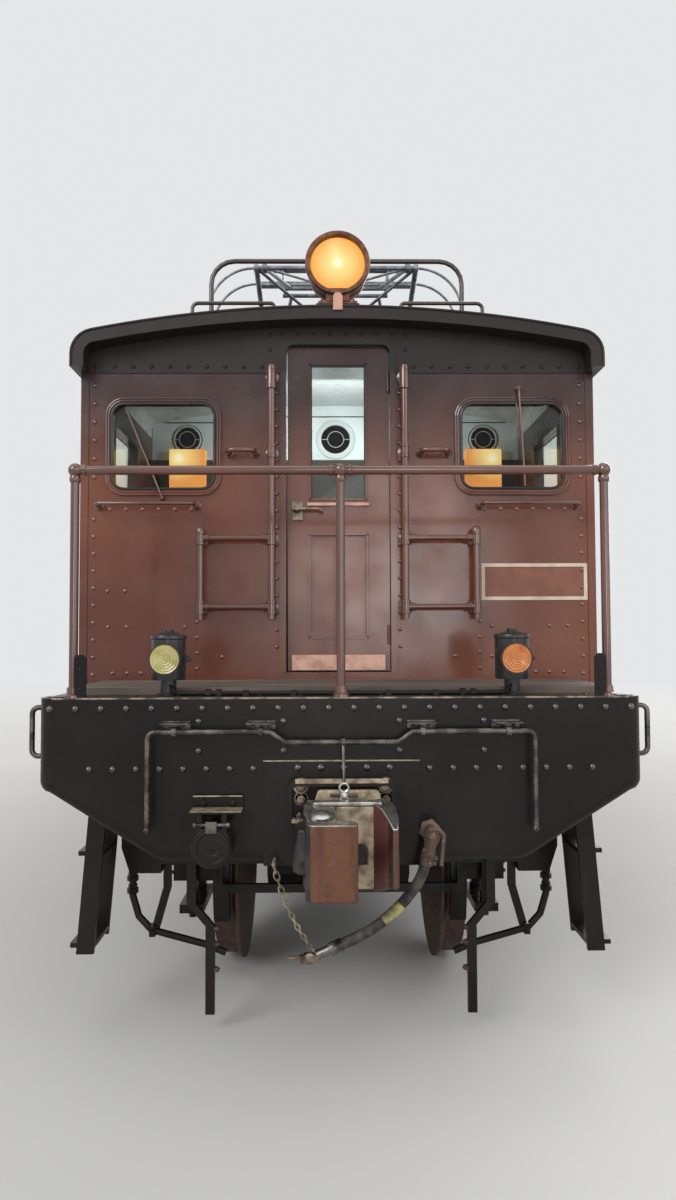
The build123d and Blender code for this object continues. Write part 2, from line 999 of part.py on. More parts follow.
def make_end_wall():
    """End wall below the eaves, with the doorway, two windows and their mouldings."""
    low = level(deck_height)
    high = level(eave_height)
    door_foot = level(door_foot_height)
    slab = block((-body_half, body_half), (-body_end, -end_inner), (low, high))
    slab = fillet(slab.edges().filter_by(Axis.Z).group_by(Axis.Y)[0], body_corner)
    through = (-body_end - frame_proud - 1, -end_inner + 1)
    strip_half = door_half + frame_strip
    pieces = [slab, block((-strip_half, strip_half), (-body_end - frame_proud, -body_end), (door_foot, high))]
    holes = [block((-door_half, door_half), through, (door_foot, high + 1))]
    z = levels(window_foot_height, window_head_height)
    edge = moulding_width
    for side in (-1, 1):
        x = sorted((side * window_inner, side * window_outer))
        rim = rounded_pane((x[0] - edge, x[1] + edge), (z[0] - edge, z[1] + edge), window_corner + edge)
        pieces.append(along(rim, -body_end - moulding_proud, -body_end))
        holes.append(along(rounded_pane(x, z, window_corner), *through))
    whole = fused(pieces)
    for hole in holes:
        whole -= hole
    return whole


def make_end_glass():
    """Panes of the two end windows."""
    z = levels(window_foot_height, window_head_height)
    middle = wall / 2 - body_end
    pane = rounded_pane((window_inner, window_outer), z, window_corner)
    return both_sides([along(pane, middle - glass_thick / 2, middle + glass_thick / 2)])


def side_pane(y):
    """Outline of one side opening."""
    half = side_opening_width / 2
    low = level(side_opening_foot_height)
    high = level(side_opening_head_height)
    return outline([(y - half, low), (y + half, low), (y + half, high), (y - half, high)])


def make_side_wall():
    """Side wall between the end walls, with its windows and louvre openings."""
    slab = block((wall_inner, body_half), (-end_inner, end_inner), levels(deck_height, eave_height))
    for kind, y in side_openings:
        slab -= across(side_pane(y), wall_inner - 1, body_half + 1)
    return slab


def make_side_glass():
    """Panes of one side."""
    low = body_half - wall / 2 - glass_thick / 2
    return [across(side_pane(y), low, low + glass_thick) for kind, y in side_openings if kind == "window"]


def make_louvres():
    """Louvre panels of one side: a frame with sloping slats."""
    panels = []
    low = level(side_opening_foot_height) + louvre_edge
    high = level(side_opening_head_height) - louvre_edge
    half = side_opening_width / 2 - louvre_edge
    inner = body_half - louvre_depth
    pitch = (high - low) / louvre_slats
    rise = pitch * louvre_rise_share
    for kind, y in side_openings:
        if kind != "louvre":
            continue
        frame = across(side_pane(y), inner, body_half)
        frame -= block((inner - 1, body_half + 1), (y - half, y + half), (low, high))
        slats = []
        for number in range(louvre_slats):
            foot = low + louvre_slat + pitch * number
            slat = outline(
                [
                    (body_half, foot),
                    (body_half, foot + louvre_slat),
                    (inner, foot + rise),
                    (inner, foot + rise - louvre_slat),
                ]
            )
            slats.append(along(slat, y - half, y + half))
        panels.append(fused([frame] + slats))
    return panels


def make_gable():
    """End plate of the roof, with the top of the doorway and its frame strip."""
    low = level(eave_height)
    head = level(door_head_height)
    proud = -body_end - fascia_proud
    plate = along(roof_face(roof_thick / 2, low), proud, -end_inner)
    strip = door_half + frame_strip
    below = low - 2 * door_corner
    rim = rounded_pane((-strip, strip), (below, head + frame_strip), door_corner + frame_strip)
    rim = along(rim, -body_end - frame_proud, -body_end)
    rim -= block((-strip - 1, strip + 1), (-body_end - frame_proud - 1, 0), (below - 1, low))
    hole = rounded_pane((-door_half, door_half), (below, head), door_corner)
    return fused([plate, rim]) - along(hole, -body_end - frame_proud - 1, -end_inner + 1)


def make_roof():
    """Arched roof with its end plates and the flat seats of what stands on it."""
    low = level(eave_height)
    shell = along(roof_face(0, low), -roof_end, roof_end)
    shell -= along(roof_face(roof_thick, low - 1), -roof_end - 1, roof_end + 1)
    gable = make_gable()
    seats = [roof_seat(0, y, vent_seat) for y in (-vent_y, vent_y)]
    seats += [roof_seat(x, y, walk_seat) for x, y in walk_places]
    for side in (-1, 1):
        seats += [roof_seat(x, side * pantograph_y + y, insulator_seat) for x, y in insulator_places]
        seats.append(roof_seat(0, side * headlight_y, lamp_seat))
        for x in (-guard_x, guard_x):
            seats.append(roof_seat(x, side * guard_y, guard_seat))
        for x in grab_x:
            seats.append(roof_seat(x, side * grab_y, grab_seat))
            seats.append(roof_seat(-x, side * grab_y, grab_seat))
    return fused([shell, gable, half_turn(gable)] + seats)


def make_partition():
    """Wall between a driving cab and the machine room, with three round ports."""
    front = -partition_y - partition_thick
    low = level(deck_height)
    panel = along(roof_face(roof_thick + moving_gap, low), front, -partition_y)
    panel &= block((-wall_inner, wall_inner), (front, -partition_y), (low, level(roof_top_height)))
    for x in (-port_x, 0, port_x):
        z = level(port_height)
        panel -= rod((x, front - 1, z), (x, 1 - partition_y, z), port_radius)
    return panel


def make_cab_desk():
    """Driver's desk under an end window, with a gauge board on it."""
    low = level(deck_height)
    outer = desk_gap - wall_inner
    desk = block((outer, -desk_inner), (-end_inner, desk_length - end_inner), (low, low + desk_height))
    board_x = (outer + gauge_inset, outer + gauge_inset + gauge_width)
    board_z = (low + desk_height, low + desk_height + gauge_height)
    board = block(board_x, (-end_inner, gauge_thick - end_inner), board_z)
    return fused([desk, board])


def make_equipment():
    """Resistors and switchgear of the machine room as one plain block."""
    low = level(deck_height)
    limits = (-equipment_reach, equipment_reach)
    return block((-equipment_half, equipment_half), limits, (low, low + equipment_height))


def make_door():
    """End door leaf with a window, a sunk panel, a kick plate, hinges and a latch lever."""
    outer = -end_inner - door_thick
    x = (door_gap - door_half, door_half - hinge_gap)
    z = (level(door_foot_height) + door_end_gap, level(door_head_height) - door_end_gap)
    leaf = along(rounded_pane(x, z, door_corner - door_end_gap), outer, -end_inner)
    foot = block(x, (outer, -end_inner), (z[0], z[0] + door_corner))
    kick_z = levels(kick_foot_height, kick_head_height)
    kick = block((-kick_half, kick_half), (outer - kick_proud, outer), kick_z)
    pieces = [leaf, foot, kick]
    pin_y = -end_inner + hinge_radius + 1
    for height in hinge_heights:
        z = level(height)
        strap_z = (z - hinge_half, z + hinge_half)
        pieces.append(pipe((door_half, pin_y, strap_z[0]), (door_half, pin_y, strap_z[1]), hinge_radius))
        pieces.append(block((door_half - hinge_leaf, door_half), (-end_inner, pin_y), strap_z))
    z = level(latch_height)
    y = outer - latch_proud
    pieces.append(pipe((latch_x, outer, z), (latch_x, y, z), latch_radius))
    lever_end = latch_x + latch_length
    pieces.append(pipe((latch_x - 2 * latch_radius, y, z), (lever_end, y, z), latch_radius - 2))
    panel_z = levels(door_panel_foot_height, door_panel_head_height)
    panel = block((-door_panel_half, door_panel_half), (outer - 1, outer + door_panel_depth), panel_z)
    window_z = levels(door_glass_foot_height, door_glass_head_height)
    window = block((-door_glass_half, door_glass_half), (outer - 1, 1 - end_inner), window_z)
    return fused(pieces) - window - panel


def make_door_glass():
    """Pane of the door window."""
    middle = -end_inner - door_thick / 2
    y = (middle - glass_thick / 2, middle + glass_thick / 2)
    z = levels(door_glass_foot_height, door_glass_head_height)
    return block((-door_glass_half, door_glass_half), y, z)


def make_railing():
    """Railing along the edge of the end platform: bars held by a ball fitting on each post."""
    y = rail_setback - half_length
    deck = level(deck_height)
    z = level(rail_height)
    ball = rail_ball_radius * flat_share
    pieces = []
    for x in (-rail_post_x, 0, rail_post_x):
        pieces.append(pipe((x, y, deck), (x, y, z - ball), rail_post_radius))
        pieces.append(pipe((x, y, z - ball), (x, y, z + ball), rail_ball_radius))
    bar = pipe((ball, y, z), (rail_post_x - ball, y, z), rail_radius)
    return pieces + both_sides([bar])


def make_ladder():
    """Upright pipes beside the door, joined by two rungs and stayed to the wall."""
    y = -body_end - ladder_stand_off
    foot = level(ladder_foot_height)
    head = level(ladder_head_height)
    outer_head = level(ladder_outer_head_height)
    face = ladder_radius * flat_share
    outer_face = ladder_outer_radius * flat_share
    pieces = [
        pipe((ladder_x, y, foot), (ladder_x, y, head), ladder_radius),
        pipe((ladder_outer_x, y, foot), (ladder_outer_x, y, outer_head), ladder_outer_radius),
    ]
    for height in rung_heights:
        z = level(height)
        pieces.append(pipe((ladder_x + face, y, z), (ladder_outer_x - outer_face, y, z), rung_radius))
        pieces.append(pipe((ladder_outer_x, -body_end, z), (ladder_outer_x, y + outer_face, z), stay_radius))
    for height in rung_heights + stay_heights:
        z = level(height)
        pieces.append(pipe((ladder_x, -body_end, z), (ladder_x, y + face, z), stay_radius))
    return pieces


def make_wall_bars():
    """Bent bars on the end wall and the grip on the end plate."""
    y = -body_end - wall_bar_stand_off
    pieces = []
    for near, far, height, radius in wall_bars:
        z = level(height)
        route = [(near, -body_end, z), (near, y, z), (far, y, z), (far, -body_end, z)]
        pieces.append(bent_pipe(route, radius))
    low = level(grip_foot_height)
    high = level(grip_head_height)
    grip_y = grip_setback - half_length
    near = headstock_half
    far = headstock_half + grip_out
    route = [(near, grip_y, low), (far, grip_y, low), (far, grip_y, high), (near, grip_y, high)]
    pieces.append(bent_pipe(route, grip_radius))
    return pieces


def make_side_step():
    """Footsteps at one corner: two splayed stringers hung from the floor, with treads."""
    low = level(step_foot_height)
    high = level(deck_height) - floor_thick

    def middle(z):
        return step_x - step_lean * (z - low) / (high - low)

    half = step_width / 2
    face = outline(
        [
            (middle(low) - half, low),
            (middle(low) + half, low),
            (middle(high) + half, high),
            (middle(high) - half, high),
        ]
    )
    front = step_setback - half_length
    back = front + step_length
    pieces = [along(face, front, front + step_thick), along(face, back - step_thick, back)]
    for height in step_tread_heights:
        z = level(height)
        x = (middle(z) - half, middle(z) + half + step_tread_over)
        pieces.append(block(x, (front + step_thick, back - step_thick), (z, z + step_tread)))
    return pieces


def make_marker_lamp():
    """Marker lamp on its foot, with a chimney and a ring for the lens."""
    x = marker_x
    y = marker_setback - half_length
    foot = level(deck_height)
    body = level(marker_body_height)
    cap = level(marker_cap_height)
    z = level(marker_lens_height)
    front = y - marker_ring_reach
    pieces = [
        rod((x, y, body), (x, y, cap), marker_radius),
        pipe((x, y, foot), (x, y, body), marker_foot_radius),
        pipe((x, y, cap), (x, y, level(marker_top_height)), marker_cap_radius),
        rod((x, y, z), (x, front, z), marker_ring_radius),
    ]
    seat = rod((x, front + marker_lens_depth, z), (x, front - 1, z), marker_lens_radius)
    return fused(pieces) - seat


def make_marker_lens():
    """Lens of a marker lamp, standing a little out of its ring."""
    front = marker_setback - half_length - marker_ring_reach
    z = level(marker_lens_height)
    start = (marker_x, front + marker_lens_depth, z)
    return rod(start, (marker_x, front - marker_lens_depth / 2, z), marker_lens_radius)


def make_headlight():
    """Round headlight on a stand above the end of the roof."""
    z = level(headlight_height)
    base = seat_top(0, lamp_seat)
    front = -headlight_y - headlight_front
    rim = front - headlight_ring_depth
    stand_y = (-headlight_y - headlight_stand_half, headlight_stand_half - headlight_y)
    stand_z = (base, z - headlight_drum_radius + headlight_foot_thick)
    foot_x = (-headlight_foot_half, headlight_foot_half)
    pieces = [
        rod((0, headlight_back - headlight_y, z), (0, front, z), headlight_drum_radius),
        rod((0, front, z), (0, rim, z), headlight_ring_radius),
        block((-headlight_stand_half, headlight_stand_half), stand_y, stand_z),
        block(foot_x, stand_y, (base, base + headlight_foot_thick)),
    ]
    seat = rod((0, front, z), (0, rim - 1, z), headlight_lens_radius)
    return fused(pieces) - seat


def make_headlight_lens():
    """Lens of the headlight, set back in its ring."""
    z = level(headlight_height)
    front = -headlight_y - headlight_front
    return rod((0, front, z), (0, front - headlight_lens_thick, z), headlight_lens_radius)


def make_number_plate():
    """Blank number plate with a raised border."""
    x = (plate_inner, body_half - plate_margin)
    z = levels(plate_foot_height, plate_head_height)
    plate = block(x, (-body_end - plate_thick, -body_end), z)
    sunk_x = (x[0] + plate_border, x[1] - plate_border)
    sunk_z = (z[0] + plate_border, z[1] - plate_border)
    return plate - block(sunk_x, (-body_end - plate_thick - 1, -body_end - plate_sunk), sunk_z)


def plan(points, low, high):
    """Piece of the coupler from its outline in plan, between two heights about its centre line."""
    z = level(coupler_height)
    face = outline([(x, -half_length - ahead) for x, ahead in points])
    return upward(face, z + low, z + high)


def plan_disc(radius, low, high):
    """Round piece of the coupler about the knuckle pin, between two heights about its centre line."""
    y = -half_length - pin_ahead
    z = level(coupler_height)
    return rod((pin_x, y, z + low), (pin_x, y, z + high), radius)


def make_guard_arm():
    """Arm of the coupler head, tapering to its tip above and below."""
    z = level(coupler_height)
    whole = plan(arm_plan, head_foot, head_top)
    base = -half_length
    tip = -half_length - arm_tip_ahead - 1
    throat = -half_length - throat_ahead
    side = [
        (base, z + head_top),
        (throat, z + head_top),
        (tip, z + arm_tip_top),
        (tip, z + arm_tip_foot),
        (throat, z + head_foot),
        (base, z + head_foot),
    ]
    reach = max(x for x, ahead in arm_plan)
    return whole & across(outline(side), 0, reach + 1)


def make_coupler():
    """Fixed head of the automatic coupler: shank, horn, lugs with the knuckle pin, and guard arm."""
    z = level(coupler_height)
    horn_y = [-half_length - ahead for ahead in coupler_horn_ahead]
    pieces = [
        plan(shank_plan, -shank_half, shank_half),
        plan(head_plan, head_foot, head_top),
        block(coupler_horn_x, horn_y, (z + lug_outer, z + coupler_horn_top)),
        make_guard_arm(),
        plan_disc(pin_radius, lug_inner, lug_outer + pin_proud),
    ]
    for low, high in ((lug_inner, lug_outer), (-lug_outer, -lug_inner)):
        pieces += [plan(lug_plan, low, high), plan_disc(lug_round, low, high)]
    throat = -half_length - throat_ahead
    slot_y = (throat - 1, throat + coupler_slot_depth)
    slot_z = [z + edge for edge in coupler_slot_z]
    return fused(pieces) - block(coupler_slot_x, slot_y, slot_z)


def make_knuckle():
    """Knuckle of the coupler, closed, held between the lugs of the head."""
    hub = [plan_disc(lug_round, -lug_inner, lug_inner), plan(hub_plan, -lug_inner, lug_inner)]
    return fused(hub + [plan(nose_plan, -knuckle_half, knuckle_half)])


def make_uncoupling_lever():
    """Cranked rod across the end plate with its brackets and hanging grips."""
    y = -half_length - lever_stand_off
    high = level(lever_height)
    dip = level(lever_dip_height)
    half = [
        (0, y, dip),
        (lever_dip_x[0], y, dip),
        (lever_dip_x[1], y, high),
        (lever_reach, y, high),
        (lever_reach, y, level(lever_grip_height)),
    ]
    other_half = [(-x, y, z) for x, y, z in reversed(half[1:])]
    pieces = [bent_pipe(other_half + half, lever_radius)]
    for x in lever_bracket_x:
        bracket_x = (x - lever_bracket_half, x + lever_bracket_half)
        bracket_y = (y - 2 * lever_radius, -half_length)
        bracket_z = (high - lever_bracket_rise, high + lever_bracket_rise)
        pieces += both_sides([block(bracket_x, bracket_y, bracket_z)])
    return fused(pieces)


def make_jumper_socket():
    """Jumper socket with its cap and the shelf that carries it."""
    face = -half_length
    z = level(jumper_height)
    shelf = level(jumper_shelf_height)
    arm_x = (jumper_x - jumper_arm_half, jumper_x + jumper_arm_half)
    arm_y = (face - jumper_depth, face - jumper_depth + 2 * jumper_shelf_thick)
    top = shelf + jumper_shelf_thick
    cap_y = face - jumper_depth
    pieces = [
        rod((jumper_x, face, z), (jumper_x, cap_y, z), jumper_radius),
        rod((jumper_x, cap_y, z), (jumper_x, cap_y - jumper_cap_thick, z), jumper_cap_radius),
        block(jumper_shelf_x, (face - jumper_shelf_reach, face), (shelf, top)),
        block(jumper_shelf_x, (face - jumper_shelf_thick, face), (top, level(jumper_leg_height))),
        block(arm_x, arm_y, (z + jumper_radius / 2, shelf)),
    ]
    return fused(pieces)


def hose_points():
    """Route of the brake hose as points."""
    y = -half_length - hose_stand_off
    return [Vector(x, y, level(height)) for x, height in hose_route]


def make_hose():
    """Rubber hose hanging from the cock to its coupling."""
    points = hose_points()
    runs = [after - before for before, after in zip(points, points[1:])]
    radii = []
    for first, second in zip(runs, runs[1:]):
        turn = math.radians(first.get_angle(second))
        radii.append(hose_bend_share * min(first.length, second.length) / math.tan(turn / 2))
    route = FilletPolyline(*points, radius=radii)
    section = Plane(origin=route @ 0, z_dir=route % 0) * Circle(hose_radius)
    return sweep(section, path=route)


def make_angle_cock():
    """Cock on the end plate, from which the hose hangs."""
    points = hose_points()
    head = points[0] - (points[1] - points[0]).normalized() * cock_length
    body = pipe(tuple(head), tuple(points[0]), cock_radius)
    stem = pipe(tuple(head), (head.X, -half_length, head.Z), cock_radius - 2)
    return fused([body, stem])


def make_hose_coupling():
    """Coupling at the free end of the hose, with the chain that holds it up."""
    points = hose_points()
    end = points[-1]
    way = (end - points[-2]).normalized()
    tip = end + way * coupling_length
    y = end.Y
    hook_y = (y - cock_radius, y + cock_radius / 2)
    eye_z = level(chain_eye_height)
    pieces = [
        pipe(tuple(end), tuple(end + way * coupling_sleeve), cock_radius),
        pipe(tuple(end + way * (coupling_sleeve - coupling_lap)), tuple(tip), coupling_radius),
        block([tip.X + edge for edge in hook_x], hook_y, [tip.Z + edge for edge in hook_z]),
        pipe((chain_eye_x, -half_length - doubler_thick, eye_z), (chain_eye_x, y, eye_z), chain_radius + 1),
        pipe((chain_eye_x, y, eye_z), (tip.X, y, tip.Z), chain_radius),
    ]
    return fused(pieces)


def make_deck_stop():
    """Flat stop with a bevelled top at the edge of the end platform."""
    outer = headstock_half - stop_inset
    y = (-half_length, stop_thick - half_length)
    stop = block((outer - stop_width, outer), y, levels(deck_height, stop_head_height))
    return chamfer(stop.edges().filter_by(Axis.Y).group_by(Axis.Z)[-1], stop_bevel)


def make_roof_guards():
    """Pipe hoop before the pantograph and the grab rails at the roof's edge."""
    z = level(guard_height)
    foot = seat_top(guard_x, guard_seat)
    y = -guard_y
    corners = [(-guard_x, y, foot), (-guard_x, y, z), (guard_x, y, z), (guard_x, y, foot)]
    hoop = bent_pipe(corners, guard_radius)
    near, far = grab_x
    top = seat_top(near, grab_seat) + grab_rise
    route = [(near, seat_top(near, grab_seat)), (near, top), (far, top), (far, seat_top(far, grab_seat))]
    grab = bent_pipe([(x, -grab_y, z) for x, z in route], grab_radius)
    return [hoop] + both_sides([grab])


def make_roof_walks():
    """Walkway boards along both sides of the roof."""
    width, thick = walk_board
    z = seat_top(walk_x, walk_seat)
    boards = []
    for number in (-1, 0, 1):
        x = walk_x + number * (width + walk_gap)
        boards.append(block((x - width / 2, x + width / 2), (-walk_half, walk_half), (z, z + thick)))
    return both_sides(boards)


def make_roof_vents():
    """Box ventilators on the middle of the roof."""
    vents = []
    z = seat_top(0, vent_seat)
    top = z + vent_height
    lid_half = vent_lid_half
    for y in (-vent_y, vent_y):
        body = block((-vent_half, vent_half), (y - vent_half, y + vent_half), (z, top))
        lid = block((-lid_half, lid_half), (y - lid_half, y + lid_half), (top, top + vent_lid))
        vents.append(fused([body, lid]))
    return vents


def make_insulator(x, y, low, high):
    """Ribbed insulator between a roof seat and the base frame."""
    core = RegularPolygon(insulator_core, insulator_sides)
    pieces = [Pos(x, y, 0) * upward(core, low, high)]
    step = (high - low) / (insulator_sheds + 0.5)
    for number in range(insulator_sheds):
        foot = low + step * (number + 0.5)
        rim = Pos(x, y, foot) * RegularPolygon(insulator_radius, insulator_sides)
        shed = extrude(rim, amount=step / 2, taper=shed_taper)
        pieces.append(shed)
    return fused(pieces)


def make_pantograph_base():
    """Insulators, base frame and the bearings of the lower frames."""
    low = level(pivot_height) - table_drop
    high = low + table_thick
    z = level(pivot_height)
    pieces = []
    for x, y in insulator_places:
        pieces.append(make_insulator(x, y, seat_top(x, insulator_seat), low))
    for side in (-1, 1):
        rail_x = side * insulator_x
        rail = (rail_x - table_half_width, rail_x + table_half_width)
        pieces.append(block(rail, (-table_reach, table_reach), (low, high)))
    cross = insulator_x - table_half_width
    for y in (-insulator_y, -pivot_spread, pivot_spread, insulator_y):
        pieces.append(block((-cross, cross), (y - cross_half, y + cross_half), (low, high)))
    for y in (-pivot_spread, pivot_spread):
        for x in (-bearing_x, bearing_x):
            bearing_span = (x - bearing_half, x + bearing_half)
            bearing = block(bearing_span, (y - bearing_reach, y + bearing_reach), (high, z + bearing_reach))
            bore = rod((x - bearing_half - 1, y, z), (x + bearing_half + 1, y, z), shaft_radius + fit_play)
            pieces.append(bearing - bore)
    return [Pos(0, -pantograph_y, 0) * piece for piece in pieces]


def linkage_points(side):
    """Pivot, knee and head pivot of the frames on one side, in Y and Z."""
    rise = math.radians(lower_angle)
    pivot = (side * pivot_spread, level(pivot_height))
    knee = (pivot[0] + side * lower_arm * math.cos(rise), pivot[1] + lower_arm * math.sin(rise))
    run = abs(knee[0]) - head_spread
    head = (side * head_spread, knee[1] + math.sqrt(upper_arm**2 - run**2))
    return pivot, knee, head


def make_lower_frame(side):
    """Lower frame of a pantograph: pivot shaft, two arms, braces and the knee shaft."""
    pivot, knee, head = linkage_points(side)
    over = knee_half + shaft_over
    knee_end = knee_half + knee_over
    arm = pipe((knee_half, *pivot), (knee_half, *knee), lower_tube)
    brace = pipe((0, *pivot), (knee_half, *knee), lower_brace)
    shafts = [
        rod((-over, *pivot), (over, *pivot), shaft_radius),
        rod((-knee_end, *knee), (knee_end, *knee), knee_radius),
    ]
    return fused(shafts + both_sides([arm, brace]))


def make_upper_frame(side):
    """Upper frame: two arms with eyes on the knee shaft, braces and the head shaft."""
    pivot, knee, head = linkage_points(side)
    outer = knee_half - eye_inset
    shaft_end = head_plate_x + head_plate_thick
    eye = pipe((outer - eye_half, *knee), (outer + eye_half, *knee), eye_radius)
    arm = pipe((outer, *knee), (head_plate_x - eye_inset, *head), upper_tube)
    brace = pipe((outer, *knee), (0, *head), upper_brace)
    shaft = rod((-shaft_end, *head), (shaft_end, *head), knee_radius)
    bore = rod((-knee_half, *knee), (knee_half, *knee), knee_radius + fit_play)
    return fused([shaft] + both_sides([eye, arm, brace])) - bore


def make_horn(y, top):
    """Horn at the end of a strip, curving out and down."""
    run = horn_reach - strip_half
    radius = (run**2 + horn_drop**2) / (2 * horn_drop)
    turn = math.asin(min(1, run / radius))
    rims = []
    for size in (radius, radius - horn_thick):
        turns = (0, turn / 2, turn)
        rims.append([(strip_half + size * math.sin(a), top - radius + size * math.cos(a)) for a in turns])
    outer, inner = rims
    edge = Curve() + ThreePointArc(*outer) + Line(outer[2], inner[2])
    edge += ThreePointArc(*reversed(inner)) + Line(inner[0], outer[0])
    return along(make_face(edge), y - horn_width / 2, y + horn_width / 2)


def make_head():
    """Collector head: two strips on side plates, with a horn at each strip's end."""
    front = linkage_points(-1)[2]
    rear = linkage_points(1)[2]
    top = front[1] + strip_rise
    low = top - strip_thick
    plate_low = front[1] - head_plate_drop
    x = (head_plate_x - head_plate_thick / 2, head_plate_x + head_plate_thick / 2)
    reach = strip_spread + head_plate_over
    plate = block(x, (-reach, reach), (plate_low, low))
    plate -= rod((x[0] - 1, *front), (x[1] + 1, *front), knee_radius + fit_play)
    gap = knee_radius + moving_gap
    plate -= block((x[0] - 1, x[1] + 1), (rear[0] - gap, rear[0] + gap), (plate_low - 1, rear[1] + gap))
    pieces = both_sides([plate])
    for y in (-strip_spread, strip_spread):
        strip_y = (y - strip_width / 2, y + strip_width / 2)
        pieces.append(block((-strip_half, strip_half), strip_y, (low, top)))
        pieces += both_sides([make_horn(y, top)])
    return fused(pieces)


def save_pantograph(end):
    """Write the five moving sub-parts of one pantograph."""
    place = Pos(0, -pantograph_y, 0)
    nodes = {
        "lower_front": make_lower_frame(-1),
        "lower_rear": make_lower_frame(1),
        "upper_front": make_upper_frame(-1),
        "upper_rear": make_upper_frame(1),
        "head": make_head(),
    }
    for name, shape in nodes.items():
        placed = place * shape
        if end == "rear":
            placed = half_turn(placed)
        save(f"pantograph_{end}_{name}", [placed])


def make_reservoir():
    """Air reservoir under the floor between the bogies, on two straps."""
    z = level(tank_height)
    width, length = tank_strap
    pieces = [rod((tank_x, -tank_half, z), (tank_x, tank_half, z), tank_radius)]
    for y in (-tank_strap_y, tank_strap_y):
        strap_x = (tank_x - width / 2, tank_x + width / 2)
        pieces.append(block(strap_x, (y - length / 2, y + length / 2), (z, level(sill_height))))
    return fused(pieces)


def make_battery_box():
    """Battery box hung from a side sill."""
    outer = sill_x - battery_inset
    z = levels(battery_foot_height, sill_height)
    return block((outer - battery_width, outer), (-battery_reach, battery_reach), z)


drawgear = make_drawgear()
save("underframe", make_floor() + make_sills() + drawgear + [half_turn(piece) for piece in drawgear])
save_ends("headstocks", [make_headstock()])
save_ends("end_decks", [make_end_deck()])
save_ends("end_walls", [make_end_wall()])
save("side_walls", both_sides([make_side_wall()]))
end_panes = make_end_glass()
save("window_glass", both_sides(make_side_glass()) + end_panes + [half_turn(pane) for pane in end_panes])
save("side_louvres", both_sides(make_louvres()))
save("roof", [make_roof()])
save_ends("partitions", [make_partition()])
save_ends("cab_desks", [make_cab_desk()])
save("equipment_block", [make_equipment()])
door = make_door()
door_pane = make_door_glass()
save("door_front", [door])
save("door_rear", [half_turn(door)])
save("door_glass_front", [door_pane])
save("door_glass_rear", [half_turn(door_pane)])
save_ends("railings", make_railing())
save_ends("handrails", both_sides(make_ladder() + make_wall_bars()))
save_ends("side_steps", both_sides(make_side_step()))
save_ends("marker_lamps", both_sides([make_marker_lamp()]))
save_ends("marker_lenses", both_sides([make_marker_lens()]))
save_ends("headlights", [make_headlight()])
save_ends("headlight_lenses", [make_headlight_lens()])
save_ends("number_plates", [make_number_plate()])
save_ends("couplers", [make_coupler()])
save_ends("coupler_knuckles", [make_knuckle()])
save_ends("uncoupling_levers", [make_uncoupling_lever()])
save_ends("brake_hoses", [make_hose()])
save_ends("hose_couplings", [make_hose_coupling()])
save_ends("end_fittings", [make_angle_cock(), make_jumper_socket()] + both_sides([make_deck_stop()]))
save_ends("roof_guards", make_roof_guards())
save("roof_walks", make_roof_walks())
save("roof_vents", make_roof_vents())
save_ends("pantograph_bases", make_pantograph_base())
save("air_reservoirs", both_sides([make_reservoir()]))
save("battery_boxes", both_sides([make_battery_box()]))
wheelset = make_wheelset()
axle_lines = (-bogie_centre - axle_y, axle_y - bogie_centre, bogie_centre - axle_y, bogie_centre + axle_y)
for number, y in enumerate(axle_lines, 1):
    save(f"wheelset_{number}", [Pos(0, y, 0) * wheelset])
for end in ("front", "rear"):
    save_bogie(end)
    save_pantograph(end)
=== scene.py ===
import json
import math

import bmesh
import bpy
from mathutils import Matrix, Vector


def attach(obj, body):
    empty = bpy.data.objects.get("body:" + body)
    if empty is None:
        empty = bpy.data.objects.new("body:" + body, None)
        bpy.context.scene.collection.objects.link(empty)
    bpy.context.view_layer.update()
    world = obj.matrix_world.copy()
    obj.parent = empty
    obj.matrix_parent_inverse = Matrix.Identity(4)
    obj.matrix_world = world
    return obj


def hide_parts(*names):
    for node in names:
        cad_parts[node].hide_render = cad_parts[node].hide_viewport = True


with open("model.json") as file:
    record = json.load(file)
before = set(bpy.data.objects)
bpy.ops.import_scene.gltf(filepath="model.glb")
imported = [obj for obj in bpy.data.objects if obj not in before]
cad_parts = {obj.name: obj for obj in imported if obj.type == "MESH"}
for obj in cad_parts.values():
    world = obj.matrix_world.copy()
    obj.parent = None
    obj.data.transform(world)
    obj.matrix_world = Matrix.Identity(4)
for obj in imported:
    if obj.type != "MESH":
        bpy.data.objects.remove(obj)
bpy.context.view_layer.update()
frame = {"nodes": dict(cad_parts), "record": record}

# Looks of a box-cab electric locomotive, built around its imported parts.
# Metres, in the parts' own frame: X runs across, the front end faces -Y, and the floor is at Z = 0.
# Heights are taken above the rail top. The rear end is the front end turned half round.
RAIL_TOP = 0.027

# Directions
FRONT = (0, -1, 0)
UPWARD = (0, 0, 1)
ACROSS = (1, 0, 0)

# What X, Y and Z are multiplied by in a copy on the other side, and in one at the other end
MIRRORED = Vector((-1, 1, 1))
TURNED = Vector((-1, -1, 1))

# Outer faces of the front end, in Y
PLATE_FACE = -5.275
DOUBLER_FACE = -5.285
STRIKER_FACE = -5.32
WALL_FACE = -4.447
GABLE_FACE = -4.453
MOULDING_FACE = -4.461
DOOR_FACE = -4.427
PARTITION_FACE = -2.99

# Body
BODY_HALF = 1.3325
BODY_END = 4.447
ROOF_HALF = 1.36
ROOF_END = 4.565
ROOF_TOP = 3.381
ROOF_RADIUS = 6.5
ROOF_SHOULDER = 0.13
SEAT_HEIGHT = 0.012
EAVE = 3.064
DECK = 1.442
SIDE_SEAMS = (-4.36, -3.17, -2.0, -1.0, 1.0, 2.0, 3.17, 4.36)

